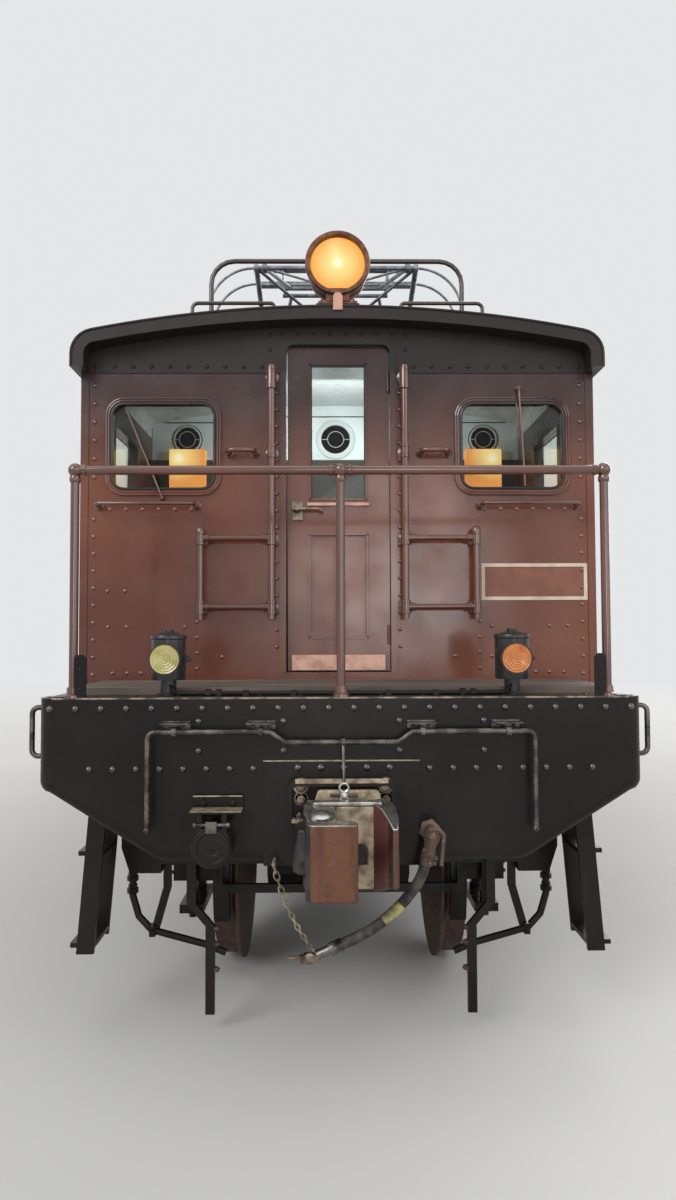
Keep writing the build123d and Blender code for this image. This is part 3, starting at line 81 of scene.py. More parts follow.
# Railing and ladders. The ladders' Y is counted from the wall.
RAIL_HEIGHT = 2.396
RAIL_Y = -5.245
RAIL_POSTS = (-1.116, 0.0, 1.116)
LADDER_X = 0.341
LADDER_OUTER_X = 0.702
LADDER_Y = -0.07
LADDER_FOOT = 1.781
LADDER_HEAD = 3.084
RUNGS = (1.842, 2.194)
STAYS = (2.64, 3.04)

# Lamps
MARKER_Y = -5.15
MARKER_HEIGHT = 1.6
HEADLIGHT_Y = -4.49
HEADLIGHT_HEIGHT = 3.603

# Coupler: heights from its middle, plans across and ahead of the end plate
COUPLER_HEIGHT = 0.88
HEAD_TOP = 0.15
HEAD_FOOT = -0.159
LUG_INNER = 0.08
LUG_OUTER = 0.124
LUG_NOSE = 0.387
LUG_SLOPE = 0.33
KNUCKLE_HALF = 0.143
KNUCKLE_FOOT = -0.131
PIN_PLACE = (-0.081, 0.33)
THROAT = 0.247
ARM_TIP = 0.425
ARM_TIP_TOP = 0.116
ARM_TIP_FOOT = -0.091
SHANK_PLAN = [(-0.07, -0.02), (0.07, -0.02), (0.07, 0.13), (-0.07, 0.13)]
HEAD_PLAN = [(-0.07, 0.08), (0.09, 0.08), (0.165, 0.17), (0.15, 0.239), (-0.14, 0.239), (-0.14, 0.16)]
BULGE_PLAN = [(-0.13, 0.13), (-0.13, 0.31), (-0.168, 0.296), (-0.19, 0.25), (-0.19, 0.195)]
BULGE_PLAN += [(-0.168, 0.145)]
LUG_PLAN = [(-0.15, 0.23), (-0.024, 0.23)]
LUG_END = [(-0.15, 0.3)]
RIM_PLAN = [(0.118, 0.2), (0.168, 0.172), (0.15, 0.256), (0.006, 0.256), (-0.11, 0.256), (-0.142, 0.2)]
ARM_PLAN = [(0.115, 0.25), (0.165, 0.17), (0.19, 0.225), (0.205, 0.29), (0.207, 0.36), (0.2, 0.425)]
ARM_PLAN += [(0.178, 0.425), (0.166, 0.37), (0.146, 0.3)]

# Brake hose: the route of the parts, across and height, in a plane before the end plate
HOSE_Y = PLATE_FACE - 0.1
HOSE_RADIUS = 0.022
HOSE_ROUTE = [(0.347, 0.84), (0.326, 0.75), (0.268, 0.661), (0.176, 0.57), (0.088, 0.511), (0.000, 0.474)]

# Pantographs
PANTOGRAPH_Y = -3.135
PIVOT_SPREAD = 0.1
PIVOT_HEIGHT = 3.72
LOWER_ARM = 0.66
LOWER_ANGLE = math.radians(14)
UPPER_ARM = 0.7
HEAD_SPREAD = 0.06
KNEE_HALF = 0.474
STRIP_RISE = 0.12
STRIP_HALF = 0.545
STRIP_SPREAD = 0.125
HORN_RUN = 0.305
HORN_DROP = 0.25

# Bogies
BOGIE_Y = -2.859
HALF_WHEELBASE = 1.225
AXLE_HEIGHT = 0.535
BOX_FACE = 0.8875
SIDE_FRAME_FACE = 0.805
SAND_Y = -4.59
GUARD_Y = -5.0215
GUARD_BOLTS = ((0.555, 0.415), (0.554, 0.35), (0.554, 0.24))

# Camera, as found from the photograph, and the plain surround
CAMERA_PLACE = (-0.05, -8.725, 1.727)
CAMERA_LENS = 24.9
CAMERA_PITCH = 2.41
CAMERA_YAW = 0.62
CAMERA_ROLL = 0.2
FLOOR_REACH = 60.0
FLOOR_NEAR = 9.0
FLOOR_FAR = 24.0
SURROUND = (238, 239, 240)
SURROUND_SEEN = 0.92
SURROUND_LIGHT = 0.52


def up(height):
    """Z of a height above the rail top."""
    return RAIL_TOP + height


def colour(steps):
    """Linear colour from one written in the usual 0 to 255 steps."""
    values = [step / 255 for step in steps]
    return (*[v / 12.92 if v <= 0.04045 else ((v + 0.055) / 1.055) ** 2.4 for v in values], 1.0)


def put(name, data):
    """New object of the scene."""
    made = bpy.data.objects.new(name, data)
    bpy.context.scene.collection.objects.link(made)
    return made


class Nodes:
    """Node tree of a look or of the surround."""

    def __init__(self, tree):
        self.tree = tree

    def feed(self, node, socket, value):
        """Give an input a number, a colour in steps, or the output of another node."""
        target = node.inputs[socket]
        if isinstance(value, bpy.types.NodeSocket):
            self.tree.links.new(value, target)
        else:
            target.default_value = colour(value) if target.type == "RGBA" else value

    def add(self, kind, inputs=(), **settings):
        """Outputs of a new node with these inputs and settings."""
        node = self.tree.nodes.new("ShaderNode" + kind)
        for name, value in settings.items():
            setattr(node, name, value)
        for socket, value in dict(inputs).items():
            self.feed(node, socket, value)
        return node.outputs

    def maths(self, operation, first, second=0.0):
        return self.add("Math", {0: first, 1: second}, operation=operation)[0]

    def spread(self, value, low, high, at_low=0.0, at_high=1.0):
        """Value carried from one range to another, and held at its ends."""
        limits = {"From Min": low, "From Max": high, "To Min": at_low, "To Max": at_high}
        return self.add("MapRange", {"Value": value, **limits})[0]

    def seen(self):
        """1 on the rays that show the surround: straight, mirrored or through glass."""
        rays = self.add("LightPath")
        glass = self.maths("MAXIMUM", rays["Is Camera Ray"], rays["Is Transmission Ray"])
        return self.maths("MAXIMUM", glass, rays["Is Glossy Ray"])


LOOKS = {}


class Look(Nodes):
    """Procedural material, kept in LOOKS: one Principled shader and the nodes that feed it."""

    def __init__(self, name, roughness=0.5, **sockets):
        self.material = bpy.data.materials.new(name)
        self.material.use_nodes = True
        super().__init__(self.material.node_tree)
        self.shader = self.tree.nodes["Principled BSDF"]
        self.place = self.add("TexCoord")["Object"]
        LOOKS[name] = self.material
        self.feed(self.shader, "Roughness", roughness)
        for socket, value in sockets.items():
            self.feed(self.shader, socket.replace("_", " "), value)

    def noise(self, scale, stretch=(1, 1, 1), detail=4.0):
        """Cloudy pattern from 0 to 1, with so many patches to the metre."""
        place = self.add("Mapping", {"Vector": self.place, "Scale": stretch})[0]
        return self.add("TexNoise", {"Vector": place, "Scale": scale, "Detail": detail})["Fac"]

    def patches(self, low, high, *noise, **detail):
        """Patches of such a noise: 0 where it is under its low level, and 1 over its high one."""
        return self.spread(self.noise(*noise, **detail), low, high)

    def axis(self, letter):
        """Place of each point of the surface along X, Y or Z, in metres."""
        return self.add("SeparateXYZ", {"Vector": self.place})[letter]

    def mix(self, share, first, second):
        """Colour between two, by a share from 0 to 1."""
        return self.add("Mix", {0: share, 6: first, 7: second}, data_type="RGBA")[2]

    def paint(self, value):
        self.feed(self.shader, "Base Color", value)

    def rough(self, scale, least, most, low=0.3, high=0.7):
        """Roughness that changes in patches."""
        self.feed(self.shader, "Roughness", self.spread(self.noise(scale), low, high, least, most))

    def bump(self, *layers):
        """Relief from one or more patterns, each with its depth in metres."""
        below = {}
        for pattern, depth in layers:
            inputs = {"Strength": 1.0, "Distance": depth, "Height": pattern}
            below = {"Normal": self.add("Bump", {**inputs, **below})[0]}
        self.feed(self.shader, "Normal", below["Normal"])


def old_paint(name, fresh, faded, dirt, gloss=(0.2, 0.4), shine=0.3, dent=0.0012, top_shade=None):
    """Thick brushed paint on old plate: cloudy fading, run-down dirt and gently dented gloss, and, when a
    top shade colour is given, painted shade that darkens it towards the top of the walls.
    """
    look = Look(name, Specular_IOR_Level=shine, Coat_Weight=0.4 * shine, Coat_Roughness=0.08)
    cloud = look.noise(1.3, detail=5)
    streaks = look.patches(0.55, 0.8, 7, (1, 1, 0.07), 3)
    grime = look.maths("MULTIPLY", streaks, look.patches(0.4, 0.7, 3))
    speckle = look.spread(look.noise(60, detail=2), 0.68, 0.76, 0.0, 0.5)
    painted = look.mix(look.spread(cloud, 0.35, 0.7), fresh, faded)
    painted = look.mix(grime, painted, dirt)
    # Painted shade: from 2.55 to 2.95 m above the rail the colour darkens towards the top shade colour, with
    # a wavy edge.
    if top_shade:
        wavy = look.maths("ADD", look.axis("Z"), look.spread(cloud, 0.3, 0.7, -0.12, 0.12))
        painted = look.mix(look.spread(wavy, up(2.55), up(2.95), 0.0, 0.85), painted, top_shade)
    look.paint(look.mix(speckle, painted, dirt))
    look.rough(5, *gloss)
    look.bump((look.noise(2.2, detail=1), dent), (look.noise(170, detail=2), 0.00008))


def bare_metal(name, base, worn, roughness, metallic, pits, scale=18):
    """Handled or rubbed metal, mottled and slightly pitted. Some pieces also use these looks for pale strips
    that are painted highlights.
    """
    look = Look(name, Metallic=metallic)
    look.paint(look.mix(look.patches(0.4, 0.65, scale, detail=6), base, worn))
    look.rough(scale * 2, *roughness)
    look.bump((look.noise(90), pits), (look.noise(420, detail=2), pits / 4))


def rusty_metal(name, rust, dark, bright):
    """Brown rust with darker runs and a few rubbed spots."""
    look = Look(name, Metallic=0.25)
    runs = look.patches(0.4, 0.7, 22, (1, 1, 0.15), 6)
    spots = look.patches(0.62, 0.72, 75)
    look.paint(look.mix(spots, look.mix(runs, rust, dark), bright))
    look.rough(40, 0.5, 0.8)
    look.bump((look.noise(160, detail=5), 0.0005))


def wooden_boards(name, pale, dark, stretch):
    """Weathered boards, with the grain drawn out by the stretch."""
    look = Look(name)
    look.paint(look.mix(look.patches(0.35, 0.7, 9, stretch, 8), pale, dark))
    look.rough(20, 0.6, 0.85)
    look.bump((look.noise(14, stretch, 8), 0.0015))


def window_glass(name):
    """Clear glass with a slight green tint and a little dust."""
    look = Look(name, Transmission_Weight=1.0, IOR=1.2)
    dust = look.patches(0.45, 0.8, 4, detail=6)
    look.paint(look.mix(dust, (236, 243, 240), (205, 212, 205)))
    look.rough(9, 0.0, 0.06, 0.4, 0.8)


def lamp_glass(name, tint, glow, strength):
    """Ribbed lamp glass, lit from behind."""
    look = Look(name, Transmission_Weight=0.35, IOR=1.5, Emission_Strength=strength)
    haze = look.patches(0.3, 0.7, 30)
    look.paint(look.mix(haze, tint, glow))
    look.feed(look.shader, "Emission Color", look.mix(haze, glow, tint))
    look.rough(50, 0.08, 0.2)


def lit_glass(name, across, height, reach, rim):
    """Glass before lamps at both sides: brightest at each lamp, and deeper in colour around it."""
    look = Look(name, roughness=0.15, Emission_Strength=0.92)
    drop = look.maths("SUBTRACT", look.axis("Z"), up(height))
    aside = look.maths("SUBTRACT", look.maths("ABSOLUTE", look.axis("X")), across)
    squares = [look.maths("MULTIPLY", value, value) for value in (aside, drop)]
    distance = look.maths("POWER", look.maths("ADD", *squares), 0.5)
    outer = look.spread(distance, reach * 0.15, reach)
    core = look.spread(distance, 0.0, reach * 0.25)
    look.paint(look.mix(outer, (150, 110, 60), (96, 52, 20)))
    shown = look.mix(core, (255, 250, 225), look.mix(outer, (255, 226, 150), rim))
    look.feed(look.shader, "Emission Color", shown)


def cab_paint(name):
    """Inside walls: pale grey above, dark below."""
    look = Look(name)
    pale = look.mix(look.patches(0.3, 0.7, 3), (192, 200, 200), (178, 186, 186))
    look.paint(look.mix(look.spread(look.axis("Z"), up(2.915), up(2.921)), (58, 56, 52), pale))
    look.rough(6, 0.35, 0.55)


def plate_paint(name):
    """Number plate: brown field, cream on the raised border."""
    look = Look(name)
    proud = look.spread(look.maths("ABSOLUTE", look.axis("Y")), BODY_END + 0.0045, BODY_END + 0.005)
    cloud = look.patches(0.35, 0.7, 14)
    field = look.mix(cloud, (128, 78, 60), (112, 66, 52))
    look.paint(look.mix(proud, field, look.mix(cloud, (212, 194, 174), (188, 168, 150))))
    look.rough(25, 0.35, 0.6)


def rubber(name):
    """Dusty dark rubber with fine cracks across it."""
    look = Look(name, Specular_IOR_Level=0.35)
    look.paint(look.mix(look.patches(0.45, 0.75, 25, detail=6), (44, 42, 41), (98, 90, 84)))
    look.rough(60, 0.55, 0.8)
    look.bump((look.noise(240), 0.0003))


FADED_BROWN = (116, 64, 43)
DARK_BROWN = (54, 33, 26)
DEEP_BLACK = (13, 11, 11)

# The looks of the record's slots
# body_brown and rivet_brown carry painted shade: both darken towards the top of the walls.
old_paint("body_brown", (92, 46, 32), FADED_BROWN, DARK_BROWN, (0.14, 0.34), 0.45, top_shade=(40, 29, 31))
old_paint("roof_paint", (31, 23, 23), (45, 34, 33), DEEP_BLACK, (0.35, 0.6), 0.3)
old_paint("black_paint", (21, 18, 17), (34, 29, 27), DEEP_BLACK, (0.2, 0.42), 0.18)
old_paint("pipe_brown", (80, 44, 34), (104, 64, 50), DARK_BROWN, (0.08, 0.2), 0.8, 0.0002)
old_paint("lamp_black", (34, 35, 35), (50, 50, 48), DEEP_BLACK, (0.2, 0.4), 0.35, 0.0002)
wooden_boards("deck_board", (112, 99, 90), (64, 57, 53), (0.12, 1, 1))
wooden_boards("walk_board", (168, 139, 114), (114, 92, 76), (1, 0.12, 1))
bare_metal("cast_steel", (174, 158, 132), (110, 97, 83), (0.4, 0.65), 0.4, 0.0016, 26)
bare_metal("worn_iron", (78, 69, 63), (154, 138, 122), (0.25, 0.45), 0.75, 0.0003, 24)
bare_metal("pantograph_grey", (108, 112, 118), (150, 156, 164), (0.3, 0.5), 0.6, 0.0002)
rusty_metal("rusty_steel", (102, 64, 45), (74, 48, 36), (114, 78, 58))
rusty_metal("wheel_steel", (76, 54, 44), (48, 38, 33), (102, 80, 68))
window_glass("glass")
lamp_glass("amber_lens", (190, 104, 54), (236, 162, 96), 0.12)
cab_paint("cab_paint")
plate_paint("cream_plate")
rubber("hose_rubber")

# Looks of some pieces that differ from their slot's
old_paint("arm_red", (84, 42, 44), (110, 62, 58), (50, 30, 33), (0.25, 0.45), 0.4, 0.0004)
old_paint("pipe_dark", (48, 38, 35), (68, 56, 51), DEEP_BLACK, (0.12, 0.26), 0.6, 0.0002)
# Dark discs in the partition ports: painted shade for the space behind them.
old_paint("port_dark", (15, 14, 14), (22, 20, 19), DEEP_BLACK, (0.5, 0.7), 0.08)
old_paint("rivet_brown", (108, 56, 41), FADED_BROWN, DARK_BROWN, (0.08, 0.18), 0.9, 0.0002, (46, 33, 34))
old_paint("rivet_black", (30, 27, 26), (52, 45, 41), DEEP_BLACK, (0.08, 0.2), 0.9, 0.0002)
old_paint("port_grey", (172, 178, 178), (186, 190, 190), (130, 130, 124), dent=0.0002)
bare_metal("lamp_bronze", (88, 56, 44), (126, 84, 64), (0.25, 0.45), 0.5, 0.0002, 20)
# Pale paint of the kick plates, also laid on the door sills as a painted highlight.
bare_metal("kick_paint", (204, 160, 140), (178, 132, 112), (0.25, 0.45), 0.1, 0.0003, 14)
bare_metal("lever_steel", (62, 58, 56), (116, 109, 103), (0.18, 0.34), 0.75, 0.0002, 14)
bare_metal("polished_steel", (190, 188, 182), (136, 131, 124), (0.12, 0.3), 0.9, 0.0004, 20)
bare_metal("head_dark", (32, 30, 30), (66, 60, 56), (0.3, 0.5), 0.4, 0.001, 14)
bare_metal("yellow_band", (172, 166, 98), (92, 86, 72), (0.5, 0.7), 0.0, 0.0003, 30)
rusty_metal("cock_rust", (114, 94, 79), (70, 55, 47), (188, 174, 156))
rusty_metal("bolt_rust", (82, 62, 55), (54, 44, 40), (112, 90, 80))
lamp_glass("straw_lens", (190, 178, 108), (222, 212, 152), 0.06)
lit_glass("lit_glass", 0.0, HEADLIGHT_HEIGHT, 0.141, (246, 168, 66))
lit_glass("cab_glow", 1.08, 2.915, 0.17, (238, 156, 78))


def spaced(low, high, pitch):
    """Places from low to high, about a pitch apart."""
    count = max(1, round((high - low) / pitch))
    return [low + (high - low) * i / count for i in range(count + 1)]


def turns(count):
    """Angles that share out a full turn."""
    return [math.tau * (i + 0.5) / count for i in range(count)]


def rounded(points, bend, steps=5):
    """Path with each corner replaced by an arc, as large as its runs allow."""
    path = [points[0]]
    for before, corner, after in zip(points, points[1:], points[2:]):
        back = before - corner
        onward = after - corner
        half_turn = (math.pi - back.angle(onward)) / 2
        reach = min(bend * math.tan(half_turn), 0.48 * back.length, 0.48 * onward.length)
        if reach < 1e-5:
            path.append(corner)
            continue
        radius = reach / math.tan(half_turn)
        middle = (back.normalized() + onward.normalized()).normalized()
        centre = corner + middle * radius / math.cos(half_turn)
        start = corner + back.normalized() * reach - centre
        end = corner + onward.normalized() * reach - centre
        for step in range(steps + 1):
            path.append(centre + start.slerp(end, step / steps).normalized() * radius)
    path.append(points[-1])
    return path


def collar(inner, outer, length, chamfer=0.002):
    """Profile of a ring round a pipe, thinner at both its ends."""
    return [(0, inner), (chamfer, outer), (length - chamfer, outer), (length, inner)]


class Shape:
    """Mesh being built: each call adds a closed form, and done() makes it a piece.

    Y is counted from the face given, and Z from the foot, which is the rail top unless given.
    """

    def __init__(self, face=0.0, foot=RAIL_TOP):
        self.mesh = bmesh.new()
        self.base = Vector((0, face, foot))
        self.look = 0

    def add_face(self, corners):
        made = self.mesh.faces.new(corners)
        made.smooth = True
        made.material_index = self.look

    def skin(self, rings):
        """Closed skin over rings of points. A ring of one point is a tip."""
        rows = [[self.mesh.verts.new(point) for point in ring] for ring in rings]
        for first, second in zip(rows, rows[1:]):
            for i in range(max(len(first), len(second))):
                corners = [first[i % len(first)], first[(i + 1) % len(first)]]
                corners += [second[(i + 1) % len(second)], second[i % len(second)]]
                self.add_face(list(dict.fromkeys(corners)))
        for end in (rows[0], rows[-1]):
            if len(end) > 2:
                self.add_face(end)

    def lathe(self, start, axis, profile, sides=24):
        """Form turned about an axis, from distances along it and radii."""
        along = Vector(axis).normalized()
        side = along.orthogonal().normalized()
        other = along.cross(side)
        rings = []
        for distance, radius in profile:
            centre = Vector(start) + along * distance
            ring = [centre + (side * math.cos(t) + other * math.sin(t)) * radius for t in turns(sides)]
            rings.append(ring if radius else [centre])
        self.skin(rings)

    def tube(self, points, radius, bend=0.0, sides=14):
        """Round tube along a path with bent corners."""
        path = [Vector(point) for point in points]
        if bend:
            path = rounded(path, bend)
        side = (path[1] - path[0]).orthogonal().normalized()
        rings = []
        for before, point, after in zip(path[:1] + path, path, path[1:] + path[-1:]):
            along = ((point - before).normalized() + (after - point).normalized()).normalized()
            side = (side - along * side.dot(along)).normalized()
            other = along.cross(side)
            angles = [math.tau * i / sides for i in range(sides)]
            rings.append([point + (side * math.cos(t) + other * math.sin(t)) * radius for t in angles])
        self.skin(rings)

    def box(self, low, high):
        (x0, y0, z0), (x1, y1, z1) = low, high
        corners = [(x0, y0), (x1, y0), (x1, y1), (x0, y1)]
        self.skin([[(x, y, z) for x, y in corners] for z in (z0, z1)])

    def slab(self, x, half, y_range, z_range):
        """Box that reaches half its width to each side of x."""
        self.box((x - half, y_range[0], z_range[0]), (x + half, y_range[1], z_range[1]))

    def prism(self, outline, axis, low, high):
        """Flat outline carried along an axis: its points are given in the other two, in order."""
        index = "xyz".index(axis)
        self.skin([[(*point[:index], w, *point[index:]) for point in outline] for w in (low, high)])

    def rivet(self, place, radius=0.013, height=0.009, axis=FRONT):
        flank = [(-0.001, radius), (height * 0.4, radius * 0.9), (height * 0.8, radius * 0.55)]
        self.lathe(place, axis, flank + [(height, 0)], 9)

    def bolt(self, place, radius, height, axis=FRONT):
        self.lathe(place, axis, [(-0.001, radius * 1.35), (0.002, radius * 1.35)], 12)
        self.lathe(place, axis, [(0.0, radius), (height, radius), (height + 0.001, radius * 0.8)], 6)
        self.lathe(place, axis, [(height, radius * 0.55), (height + 0.006, radius * 0.5)], 8)

    def ball(self, centre, radius, sides=20):
        angles = [math.pi * step / 8 for step in range(1, 8)]
        middle = [(-math.cos(t) * radius, math.sin(t) * radius) for t in angles]
        self.lathe(centre, UPWARD, [(-radius, 0)] + middle + [(radius, 0)], sides)

    def copy(self, factors):
        """Add the same forms again, multiplied by these factors."""
        forms = self.mesh.verts[:] + self.mesh.edges[:] + self.mesh.faces[:]
        for item in bmesh.ops.duplicate(self.mesh, geom=forms)["geom"]:
            if isinstance(item, bmesh.types.BMVert):
                item.co *= factors

    def both_sides(self):
        self.copy(MIRRORED)

    def done(self, name, looks, body="body", slot=None, replaces="", end="both", bevel=0.0):
        """Make the piece, at both ends, at the front or rear, or as it was built (end=None)."""
        for vert in self.mesh.verts:
            vert.co += self.base
            if end == "rear":
                vert.co *= TURNED
        if end == "both":
            self.copy(TURNED)
        bmesh.ops.recalc_face_normals(self.mesh, faces=self.mesh.faces[:])
        data = bpy.data.meshes.new(name)
        self.mesh.to_mesh(data)
        self.mesh.free()
        data.set_sharp_from_angle(angle=math.radians(38))
        made = put(name, data)
        for look in looks.split():
            data.materials.append(LOOKS[look])
        if bevel:
            rounding = made.modifiers.new("edges", "BEVEL")
            rounding.width = bevel
            rounding.segments = 2
            rounding.limit_method = "ANGLE"
            rounding.angle_limit = math.radians(40)
        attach(made, body)
        for node in replaces.split():
            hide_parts(node)
        return made


def paint_parts():
    """Give every part of the frame the look of its material slot."""
    slots = {part["node"]: part["material_slot"] for part in frame["record"]["subparts"]}
    for node, part in frame["nodes"].items():
        part.data.materials.clear()
        part.data.materials.append(LOOKS[slots[node]])


def plate_rivets():
    """Rivets of the end plate and its doubler, the bolts and cups of the striker, and pale strips on the
    doubler's top edge and the striker's top rim; the striker's strip is rubbed metal with a painted
    highlight.
    """
    doubler, striker = DOUBLER_FACE - PLATE_FACE, STRIKER_FACE - PLATE_FACE
    shape = Shape(PLATE_FACE)
    for x in spaced(-1.202, 1.202, 0.1045):
        shape.rivet((x, 0, 1.399), 0.0155, 0.012)
    places = [(x, 1.151) for x in spaced(0.364, 1.039, 0.0965)]
    places += [(0.59, 1.345), (0.59, 1.225), (0.24, 1.345), (0.24, 1.225)]
    for side in (-1, 1):
        for x, z in places:
            shape.rivet((side * x, 0, z), 0.0155, 0.012)
    for x in spaced(-0.18, 0.198, 0.0945):
        shape.rivet((x, doubler, 1.155), 0.017, 0.011)
    shape.done("plate_rivets", "rivet_black", slot="black_paint")
    worn = Shape(PLATE_FACE)
    cup = [(0, 0.034), (0.024, 0.034), (0.027, 0.031), (0.027, 0.023), (0.008, 0.021), (0.008, 0)]
    for x in (-0.165, 0.179):
        worn.look = 0
        worn.lathe((x, striker, 1.09), FRONT, cup)
        worn.lathe((x, striker, 1.036), FRONT, [(0, 0.03), (0.006, 0.03), (0.008, 0.028)])
        worn.bolt((x, striker - 0.006, 1.036), 0.019, 0.024)
        worn.bolt((x - 0.006, striker - 0.026, 0.962), 0.014, 0.018, UPWARD)
        worn.look = 1
        worn.box((x - 0.036, striker - 0.05, 0.948), (x + 0.03, striker, 0.962))
    worn.slab(0, 0.322, (doubler - 0.0015, 0), (1.18, 1.1855))
    # Rubbed metal with a painted highlight: a pale strip on the striker's top rim, where it catches the
    # light.
    worn.slab(0, 0.188, (-0.0765, -0.074), (1.101, 1.1205))
    worn.done("striker_bolts", "worn_iron cast_steel", bevel=0.001)


def end_wall_rivets():
    """Rivets of the end wall and of the gable above it."""
    shape = Shape(WALL_FACE)
    edges = [(1.262, z) for z in spaced(1.5, 2.3, 0.089) + spaced(2.52, 3.000, 0.096)]
    edges += [(x, 2.352) for x in spaced(0.76, 1.18, 0.084)]
    posts = [(0.318, z) for z in spaced(1.64, 2.96, 0.088)]
    posts += [(0.728, z) for z in (1.53, 1.61, 1.69, 1.77)]
    spots = [(1.015, 1.508), (1.085, 1.508), (1.16, 1.508), (1.09, 1.745), (1.185, 1.745), (0.79, 1.745)]
    spots += [(0.79, 1.59), (0.6, 1.59)]
    left_spots = [(1.19, 1.93), (1.1, 1.93)]
    for side in (-1, 1):
        for x, z in edges:
            shape.rivet((side * x, 0, z))
        for x, z in posts:
            shape.rivet((side * x, 0, z), 0.011, 0.008)
        for x, z in spots + (left_spots if side < 0 else []):
            shape.rivet((side * x, 0, z), 0.012)
    shape.done("end_wall_rivets", "rivet_brown", slot="body_brown")
    gable = Shape(GABLE_FACE)
    for side in (-1, 1):
        for x in spaced(0.395, 1.255, 0.0955):
            gable.rivet((side * x, 0, 3.098), 0.012)
        for z in (3.105, 3.185, 3.262):
            gable.rivet((side * 0.352, 0, z), 0.011, 0.008)
    for x in spaced(-0.29, 0.29, 0.083):
        gable.rivet((x, 0, 3.268), 0.011, 0.008)
    gable.done("gable_rivets", "roof_paint")


def end_wall_strips():
    """Seam strips, the sill under each window, and a plate edge on the end wall."""
    shape = Shape(WALL_FACE)
    shape.box((0.735, -0.01, 2.378), (1.25, 0, 2.398))
    shape.box((1.292, -0.006, DECK), (BODY_HALF, 0, EAVE))
    shape.box((0.735, -0.0015, 1.47), (1.292, 0, 2.378))
    shape.both_sides()
    shape.done("end_wall_strips", "body_brown", bevel=0.0015)


def railing():
    """Railing of the end platform with its ball fittings and post feet."""
    shape = Shape(RAIL_Y)
    z = RAIL_HEIGHT
    end = RAIL_POSTS[-1]
    shape.tube([(-end, 0, z), (end, 0, z)], 0.0195, sides=18)
    for x in RAIL_POSTS:
        shape.tube([(x, 0, DECK), (x, 0, z)], 0.0185, sides=18)
        shape.ball((x, 0, z), 0.03)
        shape.lathe((x, 0, z - 0.052), UPWARD, collar(0.021, 0.0235, 0.028, 0.006))
        shape.lathe((x, 0, DECK), UPWARD, [(0, 0.038), (0.012, 0.037), (0.018, 0.026), (0.045, 0.0225)])
        for turn in turns(4):
            place = (x + 0.031 * math.cos(turn), 0.031 * math.sin(turn) * 0.6, DECK + 0.01)
            shape.bolt(place, 0.005, 0.005, UPWARD)
        for side in (-1, 1):
            if abs(x + side * 0.05) < end:
                shape.lathe((x + side * 0.028, 0, z), (side, 0, 0), collar(0.02, 0.0235, 0.021, 0.003))
    shape.done("railing_pipes", "pipe_brown", replaces="railings")


def tee(shape, x, z, thick):
    """Screwed pipe fitting round an upright of a ladder."""
    profile = [(-0.036, thick), (-0.034, thick + 0.004), (-0.02, thick + 0.004), (-0.018, thick + 0.002)]
    profile += [(-distance, radius) for distance, radius in reversed(profile)]
    shape.lathe((x, LADDER_Y, z), UPWARD, profile)


def socket(shape, x, z, way, thick):
    """Screwed end of a fitting, on the rung that leaves it."""
    profile = [(0, thick), (0.03, thick), (0.032, thick + 0.003), (0.046, thick + 0.003), (0.048, thick)]
    shape.lathe((x, LADDER_Y, z), (way, 0, 0), profile)


def stay(shape, x, z):
    """Stay from the wall to an upright, with its fitting there and its foot on the wall."""
    shape.tube([(x, 0, z), (x, LADDER_Y, z)], 0.013)
    shape.lathe((x, 0, z), FRONT, [(0, 0.034), (0.006, 0.034), (0.01, 0.02), (0.026, 0.018)])
    for side in (-1, 1):
        shape.rivet((x, -0.006, z + side * 0.026), 0.006, 0.004)
    tee(shape, x, z, 0.02)


def ladders_and_bars():
    """Pipe ladders beside the door, bars on the wall and grips on the end plate."""
    shape = Shape(WALL_FACE)
    shape.tube([(LADDER_X, LADDER_Y, z) for z in (LADDER_FOOT, LADDER_HEAD)], 0.0185, sides=18)
    shape.tube([(LADDER_OUTER_X, LADDER_Y, z) for z in (LADDER_FOOT, 2.237)], 0.0165, sides=16)
    cap = [(0, 0.019), (0.004, 0.026), (0.1, 0.026), (0.108, 0.022), (0.118, 0.019), (0.125, 0)]
    shape.lathe((LADDER_X, LADDER_Y, LADDER_HEAD - 0.125), UPWARD, cap)
    knob = [(0, 0.019), (0.004, 0.0235), (0.02, 0.0215), (0.03, 0.012), (0.033, 0)]
    shape.lathe((LADDER_OUTER_X, LADDER_Y, 2.222), UPWARD, knob)
    for z in RUNGS:
        shape.tube([(x, LADDER_Y, z) for x in (LADDER_X, LADDER_OUTER_X)], 0.0145)
        tee(shape, LADDER_X, z, 0.0215)
        socket(shape, LADDER_X, z, 1, 0.0185)
        socket(shape, LADDER_OUTER_X, z, -1, 0.0175)
        stay(shape, LADDER_OUTER_X, z)
    for z in RUNGS + STAYS:
        stay(shape, LADDER_X, z)
    for near, far, z, radius in ((0.43, 0.565, 2.643, 0.0135), (0.735, 1.235, 2.37, 0.01)):
        shape.tube([(near, 0, z), (near, -0.09, z), (far, -0.09, z), (far, 0, z)], radius, 0.03)
        for x in (near, far):
            shape.lathe((x, 0, z), FRONT, [(0, 0.026), (0.008, 0.026), (0.014, 0.018), (0.04, 0.016)])
            shape.rivet((x, -0.008, z - 0.02), 0.005, 0.004)
    shape.both_sides()
    shape.done("ladder_pipes", "pipe_brown", replaces="handrails")
    grip = Shape(PLATE_FACE)
    low, high = 1.191, 1.396
    y, edge = 0.11, 1.255
    grip.tube([(edge, y, low), (1.312, y, low), (1.312, y, high), (edge, y, high)], 0.0115, 0.028)
    for z in (low, high):
        grip.lathe((edge, y, z), ACROSS, [(0, 0.022), (0.005, 0.022), (0.008, 0.014)])
    grip.both_sides()
    grip.done("plate_grips", "lever_steel", slot="pipe_brown")


